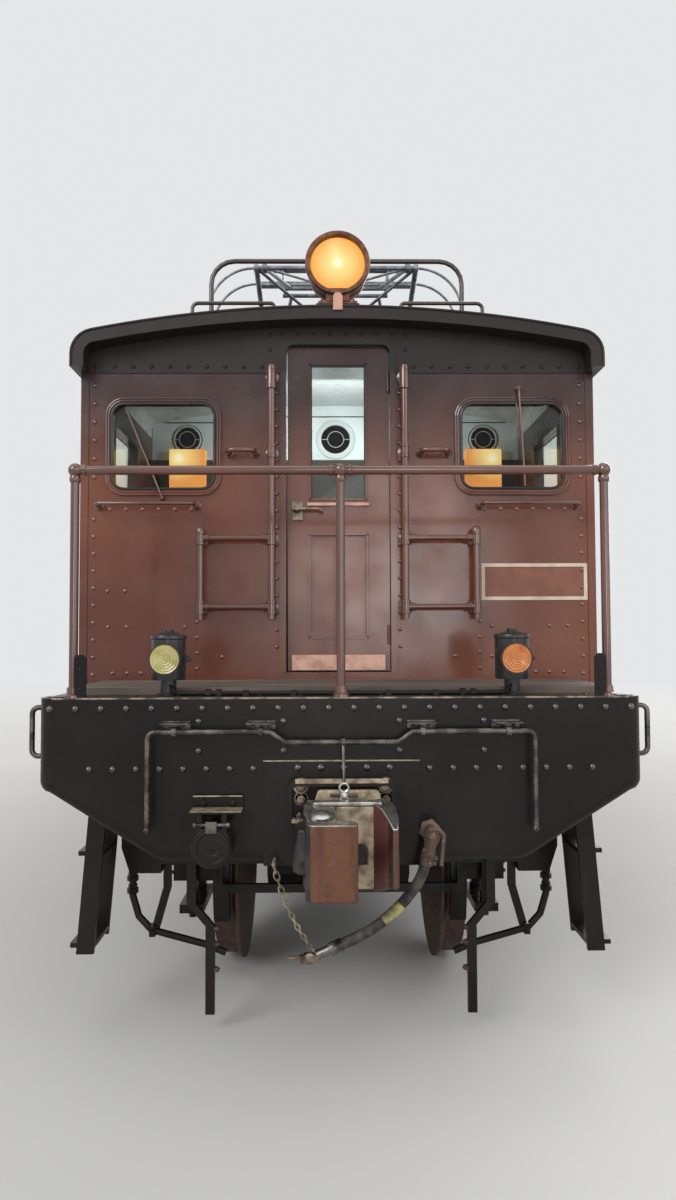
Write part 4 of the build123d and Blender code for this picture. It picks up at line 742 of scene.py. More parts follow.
def door_trim(end):
    """Window and panel strips, sill, hinges, latch and kick plate of an end door."""
    shape = Shape(DOOR_FACE)
    low, high = 2.401, 3.114
    for x in (-0.146, 0.146):
        shape.slab(x, 0.005, (-0.008, 0), (low - 0.008, high + 0.008))
    for z in (low, high):
        shape.slab(0, 0.151, (-0.008, 0), (z - 0.003, z + 0.008))
    for x in (-0.15, 0.15):
        shape.slab(x, 0.007, (-0.007, 0.006), (1.685, 2.223))
    for z in (1.685, 2.223):
        shape.slab(0, 0.157, (-0.007, 0.006), (z - 0.007, z + 0.007))
    for z in (1.65, 2.97):
        shape.lathe((0.262, -0.004, z), UPWARD, [(0, 0.01), (0.1, 0.01)], 12)
    shape.look = 1
    z = 2.35
    shape.box((-0.24, -0.012, z - 0.055), (-0.185, 0, z + 0.045))
    shape.lathe((-0.215, 0, z), FRONT, [(0, 0.02), (0.02, 0.018), (0.024, 0.012), (0.055, 0.011)], 16)
    shape.tube([(-0.237, -0.045, z), (-0.1, -0.045, z), (-0.078, -0.045, z - 0.012)], 0.009, 0.02)
    shape.lathe((-0.215, 0, z - 0.042), FRONT, [(0, 0.01), (0.006, 0.009), (0.008, 0)], 12)
    # Painted highlight: the sill under the door window takes the pale kick-plate colour where its top
    # catches the light. The kick plate and its rivets are pale of their own.
    shape.look = 2
    shape.slab(0, 0.16, (-0.014, 0), (low - 0.03, low - 0.014))
    shape.slab(0, 0.241, (-0.0165, -0.013), (1.519, 1.598))
    for x in spaced(-0.215, 0.215, 0.086):
        for z in (1.535, 1.582):
            shape.rivet((x, -0.0165, z), 0.0055, 0.003)
    shape.look = 3
    for x in (-0.138, 0.138):
        shape.slab(x, 0.003, (-0.004, 0.006), (low, high))
    shape.slab(0, 0.141, (-0.004, 0.006), (high - 0.012, high - 0.003))
    looks = "body_brown worn_iron kick_paint lamp_black"
    shape.done(f"door_trim_{end}", looks, f"door_{end}", end=end, bevel=0.0015)


def window_rims():
    """Rubber seals and beads of the end windows, and their wipers."""
    shape = Shape(MOULDING_FACE)
    corner = 0.072
    low, high = 2.452 + corner, 2.905 - corner
    inner, outer = 0.635 + corner, 1.176 - corner
    centres = [(outer, high), (inner, high), (inner, low), (outer, low)]
    for side in (-1, 1):
        for look, inset, radius in ((1, -0.005, 0.007), (0, 0.024, 0.0045), (0, 0.012, 0.0045)):
            shape.look = look
            path = []
            for quarter, (x, z) in enumerate(centres):
                for step in range(7):
                    angle = math.pi / 2 * (quarter + step / 6)
                    reach = corner + inset
                    path.append((side * (x + reach * math.cos(angle)), 0, z + reach * math.sin(angle)))
            shape.tube(path + path[:1], radius, sides=8)
    shape.done("window_seals", "rivet_brown lamp_black", slot="body_brown")
    shape = Shape(WALL_FACE)
    y = -0.026
    shape.tube([(-0.907, y, 2.41), (-1.093, y, 2.866)], 0.005, sides=8)
    shape.lathe((-0.907, 0, 2.408), FRONT, [(0, 0.016), (0.02, 0.014), (0.03, 0.008)], 14)
    shape.tube([(0.938, y, 2.985), (0.958, y, 2.62), (0.965, y, 2.465)], 0.006, sides=8)
    shape.tube([(0.926, y + 0.004, 2.9), (0.956, y + 0.004, 2.6)], 0.004, sides=8)
    shape.lathe((0.938, 0, 2.978), FRONT, [(0, 0.02), (0.022, 0.017), (0.034, 0.01)], 14)
    shape.done("wipers", "pipe_brown")


def side_strips(shape, places, gap, half, depth):
    """Frames of strips round the openings of a side wall."""
    low, high, reach = 2.35 - gap, 2.905 + gap, 0.27
    for y in places:
        for edge in (y - reach - gap, y + reach + gap):
            shape.box((BODY_HALF, edge - half, low - half), (BODY_HALF + depth, edge + half, high + half))
        for z in (low, high):
            shape.box((BODY_HALF, y - reach, z - half), (BODY_HALF + depth, y + reach, z + half))


def side_trim():
    """Mouldings, belt rail, gutter, seams and rivets of the side walls."""
    shape = Shape()
    face = BODY_HALF
    side_strips(shape, (-3.7, -1.5, 0.0, 1.5, 3.7), 0.013, 0.017, 0.01)
    side_strips(shape, (-2.25, -0.75, 0.75, 2.25), 0.01, 0.01, 0.006)
    for low, high, depth in ((2.262, 2.292, 0.009), (1.452, 1.5, 0.006), (3.02, 3.05, 0.012)):
        shape.box((face, 0.03 - BODY_END, low), (face + depth, BODY_END - 0.03, high))
    for y in SIDE_SEAMS:
        shape.box((face, y - 0.03, 1.5), (face + 0.004, y + 0.03, 2.262))
    shape.both_sides()
    shape.done("side_mouldings", "body_brown", end=None, bevel=0.0015)
    shape = Shape()
    for y in spaced(0.09 - BODY_END, BODY_END - 0.09, 0.092):
        shape.rivet((face + 0.009, y, 2.277), 0.01, 0.007, ACROSS)
        shape.rivet((face + 0.006, y, 1.476), 0.01, 0.007, ACROSS)
    for y in SIDE_SEAMS:
        places = [(0.004, place, z) for z in spaced(1.56, 2.2, 0.092) for place in (y - 0.016, y + 0.016)]
        places += [(0, y, z) for z in spaced(2.345, 2.96, 0.092)]
        for proud, place, z in places:
            shape.rivet((face + proud, place, z), 0.009, 0.006, ACROSS)
    shape.both_sides()
    shape.done("side_rivets", "rivet_brown", slot="body_brown", end=None)


def roof_arch(inset, steps=28):
    """Outline of the roof from eave to eave, across and height."""
    half = ROOF_HALF - inset
    radius = ROOF_RADIUS - inset
    shoulder = ROOF_SHOULDER - inset
    centre_x = half - shoulder
    low = ROOF_TOP - inset - radius
    centre_z = low + math.sqrt((radius - shoulder)**2 - centre_x**2)
    start = math.atan2(centre_z - low, centre_x)
    points = [(half, EAVE), (half, centre_z)]
    for step in range(1, 7):
        angle = start * step / 6
        points.append((centre_x + shoulder * math.cos(angle), centre_z + shoulder * math.sin(angle)))
    edge_angle = math.asin(points[-1][0] / radius)
    for step in range(1, steps + 1):
        angle = edge_angle * (1 - 2 * step / steps)
        points.append((radius * math.sin(angle), low + radius * math.cos(angle)))
    return points + [(-x, z) for x, z in reversed(points[:7])]


def roof_trim():
    """Seam strips over the roof, the bead round its end and the lamp iron."""
    shape = Shape()
    for y in (-3.8, -2.1, -0.35, 0.35, 2.1, 3.8):
        ring = roof_arch(-0.004)[2:-2] + roof_arch(0.004)[2:-2][::-1]
        shape.prism(ring, "y", y - 0.022, y + 0.022)
    shape.done("roof_seams", "roof_paint", end=None)
    shape = Shape(-ROOF_END)
    shape.tube([(x, 0, z) for x, z in roof_arch(0.006)], 0.007, sides=8)
    shape.look = 1
    iron = [(-0.024, 3.352), (0.024, 3.352), (0.024, 3.425), (0.012, 3.44), (-0.012, 3.44), (-0.024, 3.425)]
    shape.prism(iron, "y", -0.01, -0.002)
    shape.slab(0, 0.02, (-0.006, 0.05), (3.385, 3.393))
    shape.done("roof_beads", "roof_paint kick_paint")


def seat(x, width):
    """Height of a roof seat of that width."""
    inner = max(0.0, abs(x) - width / 2)
    return ROOF_TOP - ROOF_RADIUS + math.sqrt(ROOF_RADIUS**2 - inner**2) + SEAT_HEIGHT


def vent_louvres():
    """Slats on the sides of the roof vents, and screws on their lids."""
    shape = Shape()
    foot = seat(0, 0.62)
    lid = foot + 0.175
    for y in (-0.8, 0.8):
        for side in (-1, 1):
            outer = side * 0.28
            for step in range(5):
                z = foot + 0.03 + 0.022 * step
                slat = [(outer, z), (outer + side * 0.012, z - 0.006), (outer, z + 0.012)]
                shape.prism(slat, "y", y - 0.24, y + 0.24)
                shape.prism([(y + place, height) for place, height in slat], "x", -0.24, 0.24)
            for place in spaced(-0.27, 0.27, 0.135):
                shape.rivet((place, y + side * 0.285, lid), 0.009, 0.006, UPWARD)
                shape.rivet((side * 0.285, y + place, lid), 0.009, 0.006, UPWARD)
    shape.done("vent_louvres", "black_paint", end=None)


def roof_guards():
    """Hoop before the pantograph and the grab rails at the roof's edge."""
    shape = Shape(-4.125)
    x, top = 0.705, 3.806
    foot = seat(x, 0.08)
    shape.tube([(-x, 0, foot), (-x, 0, top), (x, 0, top), (x, 0, foot)], 0.0135, 0.13, 16)
    for place in (-x, x):
        shape.lathe((place, 0, foot), UPWARD, [(0, 0.034), (0.008, 0.034), (0.012, 0.02), (0.04, 0.018)])
    near, far = 0.33, 0.755
    low = seat(near, 0.06)
    path = [(near, low), (near, low + 0.04), (far, low + 0.04), (far, seat(far, 0.06))]
    for side in (-1, 1):
        shape.tube([(side * px, -0.345, pz) for px, pz in path], 0.01, 0.03, 12)
    shape.done("guard_pipes", "pipe_dark", slot="pipe_brown", replaces="roof_guards")


def marker_lamps():
    """Marker lamps: drum, lid, chimney, hinge, ringed glass and foot."""
    shape, lens = Shape(MARKER_Y), Shape(MARKER_Y)
    drum = [(0, 0.05), (0.001, 0.071), (0.006, 0.073), (0.172, 0.073), (0.176, 0.078), (0.184, 0.078)]
    drum += [(0.19, 0.076), (0.197, 0.06), (0.203, 0.03), (0.205, 0.022), (0.215, 0.022), (0.215, 0)]
    hood = [(0, 0.064), (0.04, 0.064), (0.043, 0.067), (0.047, 0.067), (0.047, 0.063), (0.042, 0.062)]
    hood += [(0.042, 0)]
    rings = [(0.09, 0.062)]
    for ring in range(5):
        outer = 0.06 - 0.0115 * ring
        rings += [(0.098 + 0.0025 * ring, outer), (0.095 + 0.0025 * ring, outer - 0.0075)]
    rings += [(0.112, 0.004), (0.113, 0)]
    z = MARKER_HEIGHT
    for x in (-0.738, 0.738):
        shape.lathe((x, 0, 1.51), UPWARD, drum, 32)
        shape.lathe((x, 0, DECK), UPWARD, [(0, 0.05), (0.01, 0.05), (0.014, 0.034), (0.072, 0.034)])
        shape.lathe((x, -0.05, z), FRONT, hood, 32)
        shape.box((x + 0.066, -0.01, z - 0.016), (x + 0.088, 0.01, z + 0.014))
        shape.lathe((x + 0.088, 0, z - 0.001), ACROSS, [(0, 0.008), (0.01, 0.007), (0.012, 0)], 10)
        lens.look = int(x > 0)
        lens.lathe((x, 0, z), FRONT, rings, 40)
    shape.done("marker_drums", "lamp_black", replaces="marker_lamps")
    lens.done("marker_glasses", "straw_lens amber_lens", slot="amber_lens", replaces="marker_lenses")


def headlight():
    """Headlight: drum with bands, ring, knobs, stand with its screws, and the lit glass."""
    shape, glass = Shape(HEADLIGHT_Y), Shape(HEADLIGHT_Y)
    z = HEADLIGHT_HEIGHT
    drum = [(-0.15, 0.06), (-0.148, 0.1), (-0.135, 0.13), (-0.1, 0.147), (-0.095, 0.15), (-0.06, 0.15)]
    drum += [(-0.058, 0.154), (-0.046, 0.154), (-0.044, 0.15), (0.032, 0.15), (0.034, 0.164), (0.042, 0.167)]
    drum += [(0.068, 0.167), (0.075, 0.162), (0.075, 0.146), (0.066, 0.1415), (0.045, 0.1415), (0.045, 0)]
    shape.lathe((0, 0, z), FRONT, drum, 48)
    base = seat(0, 0.22)
    shape.slab(0, 0.06, (-0.06, 0.06), (base + 0.01, z - 0.13))
    shape.slab(0, 0.1, (-0.06, 0.06), (base, base + 0.014))
    for x in (-0.082, 0.082):
        for y in (-0.042, 0.042):
            shape.bolt((x, y, base + 0.014), 0.01, 0.008, UPWARD)
    for side in (-1, 1):
        knob = [(0, 0.02), (0.014, 0.018), (0.017, 0.01)]
        shape.lathe((side * 0.15, -0.015, z), (side, 0, 0), knob, 14)
    shape.done("headlight_drum", "lamp_bronze", slot="lamp_black", replaces="headlights")
    rings = [(0.046, 0.1405)]
    for ring in range(7):
        outer = 0.135 - 0.019 * ring
        rings += [(0.052 + 0.0016 * ring, outer), (0.05 + 0.0016 * ring, outer - 0.015)]
    glass.lathe((0, 0, z), FRONT, rings + [(0.064, 0.004), (0.064, 0)], 48)
    glass.done("headlight_glass", "lit_glass", slot="amber_lens", replaces="headlight_lenses")


def plan_arc(centre, radius, start, end, steps):
    """Points of an arc in plan, across and ahead, between two angles in degrees."""
    angles = [math.radians(start + (end - start) * i / steps) for i in range(steps + 1)]
    return [(centre[0] + radius * math.cos(t), centre[1] + radius * math.sin(t)) for t in angles]


def plan_form(shape, points, low, high, edges=(), cap=None):
    """Form of the coupler from its outline in plan. A limit is a height or a rule from the reach ahead.

    edges gives the look of each edge's side, by its number, and cap that of the top.
    """
    rules = [limit if callable(limit) else lambda ahead, level=limit: level for limit in (low, high)]
    before = len(shape.mesh.faces)
    shape.skin([[(x, -ahead, rule(ahead)) for x, ahead in points] for rule in rules])
    shape.mesh.faces.ensure_lookup_table()
    for number, look in edges:
        shape.mesh.faces[before + number].material_index = look
    if cap is not None:
        shape.mesh.faces[-1].material_index = cap


def tapered(base, tip):
    """Rule for the height of the guard arm, straight from the throat to its tip."""
    return lambda ahead: base + (tip - base) * max(0.0, (ahead - THROAT) / (ARM_TIP - THROAT))


def sloping_lug(ahead):
    """Top of the upper lug, which rises from its nose back to the head."""
    return LUG_OUTER + (LUG_NOSE - ahead) * LUG_SLOPE


def coupler():
    """Automatic coupler: dark head, pale throat, red guard arm, polished lug and pins, rusty knuckle."""
    base = up(COUPLER_HEIGHT)
    rim_foot, rim_top = HEAD_TOP + 0.016, HEAD_TOP + 0.032
    shape = Shape(PLATE_FACE, base)
    plan_form(shape, SHANK_PLAN, -0.11, 0.11)
    plan_form(shape, HEAD_PLAN, HEAD_FOOT, HEAD_TOP, cap=1)
    plan_form(shape, BULGE_PLAN, -0.08, 0.088)
    lug = LUG_PLAN + plan_arc(PIN_PLACE, 0.057, 0, 180, 14) + LUG_END
    plan_form(shape, lug, LUG_INNER, sloping_lug, [(i, 1) for i in range(2, 16)], 1)
    plan_form(shape, lug, -LUG_OUTER, -LUG_INNER)
    plan_form(shape, RIM_PLAN, rim_foot, rim_top, [(i, 1) for i in range(len(RIM_PLAN))], 1)
    arm_sides = enumerate((3, 3, 3, 3, 3, 4, 3, 2, 2))
    plan_form(shape, ARM_PLAN, tapered(HEAD_FOOT, ARM_TIP_FOOT), tapered(rim_top, ARM_TIP_TOP), arm_sides, 1)
    shape.look = 5
    low, high, inner = HEAD_FOOT + 0.012, rim_foot, -0.06
    throat = [(inner, high), (0.132, high), (0.132, low), (inner, low), (inner, -0.056), (0.094, -0.056)]
    throat += [(0.094, 0.006), (0.078, 0.022), (inner, 0.022)]
    shape.prism(throat, "y", -THROAT - 0.006, -THROAT + 0.009)
    horn = [(-0.118, LUG_OUTER), (-0.098, 0.196), (-0.088, 0.2), (0.138, 0.2), (0.148, 0.196)]
    horn += [(0.168, LUG_OUTER)]
    shape.prism(horn, "y", -0.11, -0.08)
    looks = "head_dark polished_steel arm_red head_dark rusty_steel cast_steel"
    shape.done("coupler_head", looks, slot="cast_steel", replaces="couplers", bevel=0.006)
    pins = Shape(PLATE_FACE, base)
    pin_x, pin_ahead = PIN_PLACE
    head = [(0, 0.036), (0.002, 0.042), (0.012, 0.039), (0.017, 0.028), (0.018, 0)]
    pins.lathe((pin_x, -pin_ahead, sloping_lug(pin_ahead)), (0, -LUG_SLOPE, 1), head, 28)
    x, y, top = 0.008, -0.122, LUG_OUTER
    pins.lathe((x, y, top + 0.044), UPWARD, [(0, 0.022), (0.022, 0.02), (0.03, 0.012)], 16)
    angles = [math.tau * step / 12 for step in range(13)]
    ring = [(x + 0.018 * math.sin(t), y, top + 0.09 - 0.018 * math.cos(t)) for t in angles]
    pins.tube(ring, 0.0048, sides=8)
    pins.look = 1
    pins.tube([(x - 0.055, y - 0.01, top + 0.06), (x + 0.055, y - 0.01, top + 0.06)], 0.0065, sides=10)
    pins.done("coupler_pins", "polished_steel lever_steel", slot="worn_iron")
    knuckle = Shape(PLATE_FACE, base)
    hub = [(-0.024, 0.395), (-0.024, 0.33)] + plan_arc(PIN_PLACE, 0.057, 0, -180, 10) + [(-0.14, 0.395)]
    plan_form(knuckle, hub, 0.002 - LUG_INNER, LUG_INNER - 0.002, [(i, 1) for i in range(13)])
    nose = [(0.035, 0.392), (0.052, 0.402), (0.052, 0.462), (0.046, 0.472), (0.036, 0.475), (-0.1, 0.475)]
    nose += plan_arc((-0.1, 0.437), 0.038, 90, 180, 6)[1:] + [(-0.14, 0.392)]
    plan_form(knuckle, nose, KNUCKLE_FOOT, KNUCKLE_HALF, [(i, 1) for i in range(7, 13)], 2)
    looks = "rusty_steel head_dark polished_steel"
    knuckle.done("knuckle", looks, replaces="coupler_knuckles", bevel=0.008)


def uncoupling_lever():
    """Cranked lever across the end plate, its brackets and the link to the coupler."""
    shape = Shape(PLATE_FACE)
    y, high, dip, foot = -0.06, 1.308, 1.265, 0.915
    half = [(0.23, y, dip), (0.29, y, high), (0.787, y, high), (0.787, y, foot)]
    shape.tube([(-x, y, z) for x, y, z in reversed(half)] + half, 0.0112, 0.03, 12)
    for x in (-0.787, 0.787):
        shape.ball((x, y, foot), 0.015, 12)
    for x in (-0.68, -0.33, 0.33, 0.68):
        shape.slab(x, 0.058, (-0.006, 0), (high + 0.006, high + 0.04))
        shape.slab(x, 0.058, (y - 0.012, 0), (high + 0.03, high + 0.036))
        shape.slab(x, 0.01, (y, 0), (high - 0.005, high + 0.008))
        shape.lathe((x - 0.012, y, high), ACROSS, collar(0.014, 0.019, 0.024), 16)
        for place in (x - 0.034, x + 0.034):
            shape.bolt((place, -0.006, high + 0.016), 0.009, 0.008)
    shape.lathe((-0.005, y, dip), ACROSS, collar(0.014, 0.018, 0.022), 16)
    shape.tube([(0.006, y - 0.004, dip - 0.01), (0.008, -0.122, 1.112)], 0.0075, sides=10)
    shape.done("lever_rod", "lever_steel", slot="worn_iron", replaces="uncoupling_levers", bevel=0.001)


def smooth_line(name, route, fineness):
    """Open smooth curve drawn by the points of its route."""
    data = bpy.data.curves.new(name, "CURVE")
    data.dimensions = "3D"
    data.resolution_u = fineness
    spline = data.splines.new("NURBS")
    spline.points.add(len(route) - 1)
    for point, place in zip(spline.points, route):
        point.co = (*place, 1.0)
    spline.order_u = 3
    spline.use_endpoint_u = True
    return data


def hose_places():
    """Places along the middle of the front hose, measured on its curve."""
    data = smooth_line("measure", [(x, HOSE_Y, up(height)) for x, height in HOSE_ROUTE], 24)
    holder = bpy.data.objects.new("measure", data)
    mesh = bpy.data.meshes.new_from_object(holder)
    places = [vert.co.copy() for vert in mesh.vertices]
    bpy.data.objects.remove(holder)
    bpy.data.curves.remove(data)
    return places


def hose_coupling(end, places):
    """Clamp and pipe at the free end of a hose."""
    shape = Shape(foot=0.0)
    free, way = places[-1], (places[-1] - places[-2]).normalized()
    shape.lathe(free, way, [(0, 0.024), (0.003, 0.026), (0.052, 0.026), (0.055, 0.022)], 20)
    shape.lathe(free + way * 0.05, way, [(0, 0.02), (0.06, 0.02)], 20)
    return shape.done(f"hose_coupling_{end}", "lever_steel", slot="worn_iron", end=end)


def chain_link(shape, centre, along, flat, half, wire=0.0032):
    """One oval link of a chain."""
    other = along.cross(flat).normalized()
    side = flat.normalized()
    rows = []
    for step in range(12):
        angle = math.tau * step / 12
        point = centre + along * half * math.cos(angle) + other * half * 0.55 * math.sin(angle)
        outward = (point - centre).normalized()
        ring = [point + (outward * math.cos(t) + side * math.sin(t)) * wire for t in (0, 1.57, 3.14, 4.71)]
        rows.append([shape.mesh.verts.new(place) for place in ring])
    for first, second in zip(rows, rows[1:] + rows[:1]):
        for i in range(4):
            shape.add_face([first[i], first[i - 3], second[i - 3], second[i]])


def hose_chains(places):
    """Coupling heads, the chain that holds each from its eye, and the band on the hose."""
    shape = Shape(HOSE_Y, 0.0)
    tip = places[-1] + (places[-1] - places[-2]).normalized() * 0.12
    x, z = tip.x, tip.z
    eye = Vector((-0.274, 0, up(0.786)))
    shape.tube([(eye.x, DOUBLER_FACE - HOSE_Y, eye.z), eye], 0.0075, sides=10)
    goal = Vector((x, 0, z + 0.016))
    sag, count = 0.03, 15
    joints = []
    for number in range(count + 1):
        share = number / count
        hang = sag * 4 * share * (1 - share)
        joints.append(eye.lerp(goal, share) + Vector((-0.3 * hang, 0, -hang)))
    for number, (before, after) in enumerate(zip(joints, joints[1:])):
        along = (after - before).normalized()
        flat = Vector((0, 1, 0)) if number % 2 else along.cross(Vector((0, 1, 0)))
        chain_link(shape, (before + after) / 2, along, flat, (after - before).length * 0.66)
    shape.look = 1
    shape.box((x - 0.044, -0.022, z - 0.018), (x + 0.014, 0.01, z + 0.012))
    shape.box((x - 0.06, -0.018, z - 0.026), (x - 0.04, 0.006, z + 0.006))
    shape.lathe((x - 0.02, -0.022, z - 0.002), FRONT, [(0, 0.022), (0.004, 0.022), (0.006, 0.014)], 20)
    shape.tube([(x - 0.05, -0.012, z), (x - 0.108, -0.014, z - 0.002)], 0.0065, sides=10)
    shape.done("hose_chains", "cast_steel worn_iron", slot="worn_iron", replaces="hose_couplings")
    band = Shape(foot=0.0)
    middle, reach = int(len(places) * 0.56), int(len(places) * 0.1)
    band.tube(places[middle - reach:middle + reach], HOSE_RADIUS + 0.0012, sides=24)
    band.done("hose_bands", "yellow_band", slot="hose_rubber")


def brake_hoses():
    """Both hoses with what is on them."""
    places = hose_places()
    length = sum((after - before).length for before, after in zip(places, places[1:]))
    hose_chains(places)
    for end, turn in (("front", 1), ("rear", -1)):
        coupling = hose_coupling(end, places)
        route = [Vector((turn * x, turn * HOSE_Y, up(height))) for x, height in HOSE_ROUTE]
        data = smooth_line(f"hose_{end}", route, 10)
        data.bevel_depth = HOSE_RADIUS
        data.bevel_resolution = 6
        data.use_fill_caps = True
        data.materials.append(LOOKS["hose_rubber"])
        hose = put(f"hose_{end}", data)
        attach(hose, "body")
        if end == "front":
            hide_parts("brake_hoses")
        tuple(route[0])


def angle_cocks():
    """Angle cock above each hose: neck with its clamps, pipe, nut and handle."""
    cock = Shape(HOSE_Y, 0.0)
    first, second = [Vector((x, 0, up(height))) for x, height in HOSE_ROUTE[:2]]
    back = (first - second).normalized()
    head = first + back * 0.06
    x, z = head.x, head.z
    plate = PLATE_FACE - HOSE_Y
    neck = [(0, 0.0232), (0.003, 0.026), (0.016, 0.026), (0.018, 0.0238), (0.03, 0.0238), (0.033, 0.0265)]
    neck += [(0.06, 0.0285), (0.064, 0.024), (0.09, 0.025), (0.104, 0.032), (0.128, 0.032), (0.134, 0.024)]
    cock.lathe(first - back * 0.06, back, neck)
    cock.tube([head, (x, plate, z)], 0.024, sides=18)
    cock.lathe((x, plate, z), FRONT, [(0, 0.045), (0.01, 0.045), (0.014, 0.03)], 6)
    cock.lathe((x, -0.02, z + 0.006), FRONT, [(0, 0.022), (0.012, 0.02), (0.016, 0.012)], 6)
    handle = [(x - 0.018, -0.036, z + 0.03), (x + 0.02, -0.04, z + 0.034)]
    handle += [(x + 0.042, -0.04, z + 0.01), (x + 0.03, -0.036, z - 0.11)]
    cock.tube(handle, 0.0085, 0.015, 10)
    for share in (-0.052, -0.03):
        place = first + back * share
        cock.bolt((place.x + 0.03, -0.006, place.z), 0.007, 0.006)
        cock.slab(place.x + 0.03, 0.01, (-0.01, 0.008), (place.z - 0.007, place.z + 0.007))
    cock.done("angle_cocks", "cock_rust", slot="black_paint", bevel=0.001)


def end_gear():
    """Jumper socket with its lid and shelf, a painted highlight on the shelf's edges, and the stops on the
    deck's edge.
    """
    shape = Shape(PLATE_FACE)
    x, z = -0.523, 0.849
    body = [(0, 0.076), (0.012, 0.076), (0.014, 0.068), (0.066, 0.07), (0.068, 0.083), (0.084, 0.083)]
    shape.lathe((x, 0, z), FRONT, body + [(0.088, 0.078), (0.089, 0)], 36)
    left, right = x - 0.086, x + 0.118
    shape.box((left, -0.095, 0.985), (right, 0, 0.995))
    shape.box((left, -0.01, 0.985), (right, 0, 1.041))
    shape.box((left, -0.018, 1.037), (right, 0, 1.045))
    for place in (x - 0.045, x + 0.075):
        shape.bolt((place, -0.01, 1.014), 0.014, 0.012)
    for place in (x - 0.05, x + 0.05):
        shape.slab(place, 0.01, (-0.085, -0.06), (z + 0.06, 0.985))
    rings = [(0, 0.074), (0.004, 0.072), (0.005, 0.06), (0.001, 0.058), (0.003, 0.03), (0.001, 0.028)]
    rings += [(0.001, 0)]
    shape.lathe((x, -0.088, z), FRONT, rings, 36)
    shape.box((x - 0.04, -0.094, z - 0.01), (x + 0.01, -0.088, z - 0.006))
    for side in (-1, 1):
        outer = side * 1.078
        upper = [(0.0235, 1.607), (0.0095, 1.621), (-0.0095, 1.621), (-0.0235, 1.607)]
        outline = [(outer + px, pz) for px, pz in [(-0.0235, DECK), (0.0235, DECK)] + upper]
        shape.prism(outline, "y", 0, 0.008)
        for height in (1.48, 1.56):
            shape.rivet((outer, 0, height), 0.008, 0.005)
    shape.look = 1
    y, hinge = -0.086, z + 0.092
    shape.tube([(x - 0.066, y, hinge), (x + 0.066, y, hinge)], 0.0075, sides=10)
    for place in (x - 0.066, x + 0.066):
        shape.ball((place, y, hinge), 0.012, 12)
    shape.slab(x, 0.022, (-0.1, -0.084), (z + 0.06, z + 0.106))
    # Painted highlight: thin pale strips on the shelf's top and on the front edge of its upper bar, where
    # they catch the light.
    shape.look = 2
    shape.box((left - 0.002, -0.0965, 0.9925), (right + 0.002, -0.01, 0.9962))
    shape.box((left, -0.0195, 1.0395), (right, -0.017, 1.0455))
    looks = "black_paint lever_steel cast_steel"
    shape.done("end_gear", looks, replaces="end_fittings", bevel=0.001)


def deck_conduit():
    """Cable pipe along the edge of the platform, with its unions and clips, and cables to the lamps."""
    shape = Shape(-5.212)
    z = DECK + 0.014
    shape.tube([(-0.69, 0, z), (0.69, 0, z)], 0.011, sides=12)
    for side in (-1, 1):
        for place in (0.5, 0.545):
            shape.lathe((side * place, 0, z), (side, 0, 0), collar(0.012, 0.019, 0.028), 6)
        shape.tube([(side * 0.69, 0, z), (side * 0.725, 0.03, z + 0.03)], 0.008, 0.02, 10)
        for place in (0.2, 0.4):
            shape.slab(side * place, 0.012, (-0.018, 0.018), (DECK, z + 0.014))
    shape.done("deck_conduit", "black_paint")
    edge = Shape()
    edge.slab(0, 1.19, (-5.268, -5.228), (DECK, DECK + 0.006))
    for x in spaced(-1.02, 1.02, 0.17):
        edge.rivet((x, -5.248, DECK + 0.006), 0.009, 0.005, UPWARD)
    # Painted highlight: a pale metal strip along the top edge of the end plate, where the edge catches the
    # light.
    edge.look = 1
    edge.slab(0, 1.195, (-5.2765, -5.262), (DECK - 0.006, DECK + 0.0015))
    edge.done("deck_edge", "black_paint worn_iron", bevel=0.001)


def linkage(side):
    """Pivot, knee and head pivot of one side's frames, in Y from the pantograph's middle and height."""
    pivot = (side * PIVOT_SPREAD, PIVOT_HEIGHT)
    reach, rise = LOWER_ARM * math.cos(LOWER_ANGLE), LOWER_ARM * math.sin(LOWER_ANGLE)
    knee = (side * (PIVOT_SPREAD + reach), PIVOT_HEIGHT + rise)
    run = abs(knee[0]) - HEAD_SPREAD
    head = (side * HEAD_SPREAD, knee[1] + math.sqrt(UPPER_ARM**2 - run**2))
    return pivot, knee, head


def pantograph_lower(end, side, name):
    """Lower frame: pivot shaft with its levers, arms, braces and knee shaft."""
    pivot, knee, _ = linkage(side)
    shape = Shape(PANTOGRAPH_Y)
    for joint, reach, radius, sides in ((pivot, 0.02, 0.0248, 20), (knee, 0.015, 0.0138, 14)):
        shape.tube([(-KNEE_HALF - reach, *joint), (KNEE_HALF + reach, *joint)], radius, sides=sides)
    for x in (-KNEE_HALF, KNEE_HALF):
        shape.tube([(x, *pivot), (x, *knee)], 0.0165)
        shape.tube([(0, *pivot), (x, *knee)], 0.0098, sides=10)
        shape.lathe((x - 0.02, *pivot), ACROSS, collar(0.026, 0.03, 0.04), 18)
        shape.lathe((x - 0.014, *knee), ACROSS, collar(0.015, 0.022, 0.028), 16)
    node = f"pantograph_{end}_lower_{name}"
    shape.done(f"lower_{name}_{end}", "pantograph_grey", node, replaces=node, end=end)


def pantograph_upper(end, side, name):
    """Upper frame: eyes on the knee shaft, arms, braces and head shaft."""
    _, knee, head = linkage(side)
    shape = Shape(PANTOGRAPH_Y)
    shape.tube([(-0.362, *head), (0.362, *head)], 0.0138)
    for sign in (-1, 1):
        x = sign * (KNEE_HALF - 0.05)
        shape.lathe((x - 0.015, *knee), ACROSS, collar(0.0235, 0.0255, 0.03), 20)
        shape.tube([(x, *knee), (sign * 0.3, *head)], 0.0125)
        shape.tube([(x, *knee), (0, *head)], 0.0078, sides=10)
    node = f"pantograph_{end}_upper_{name}"
    shape.done(f"upper_{name}_{end}", "pantograph_grey", node, replaces=node, end=end)


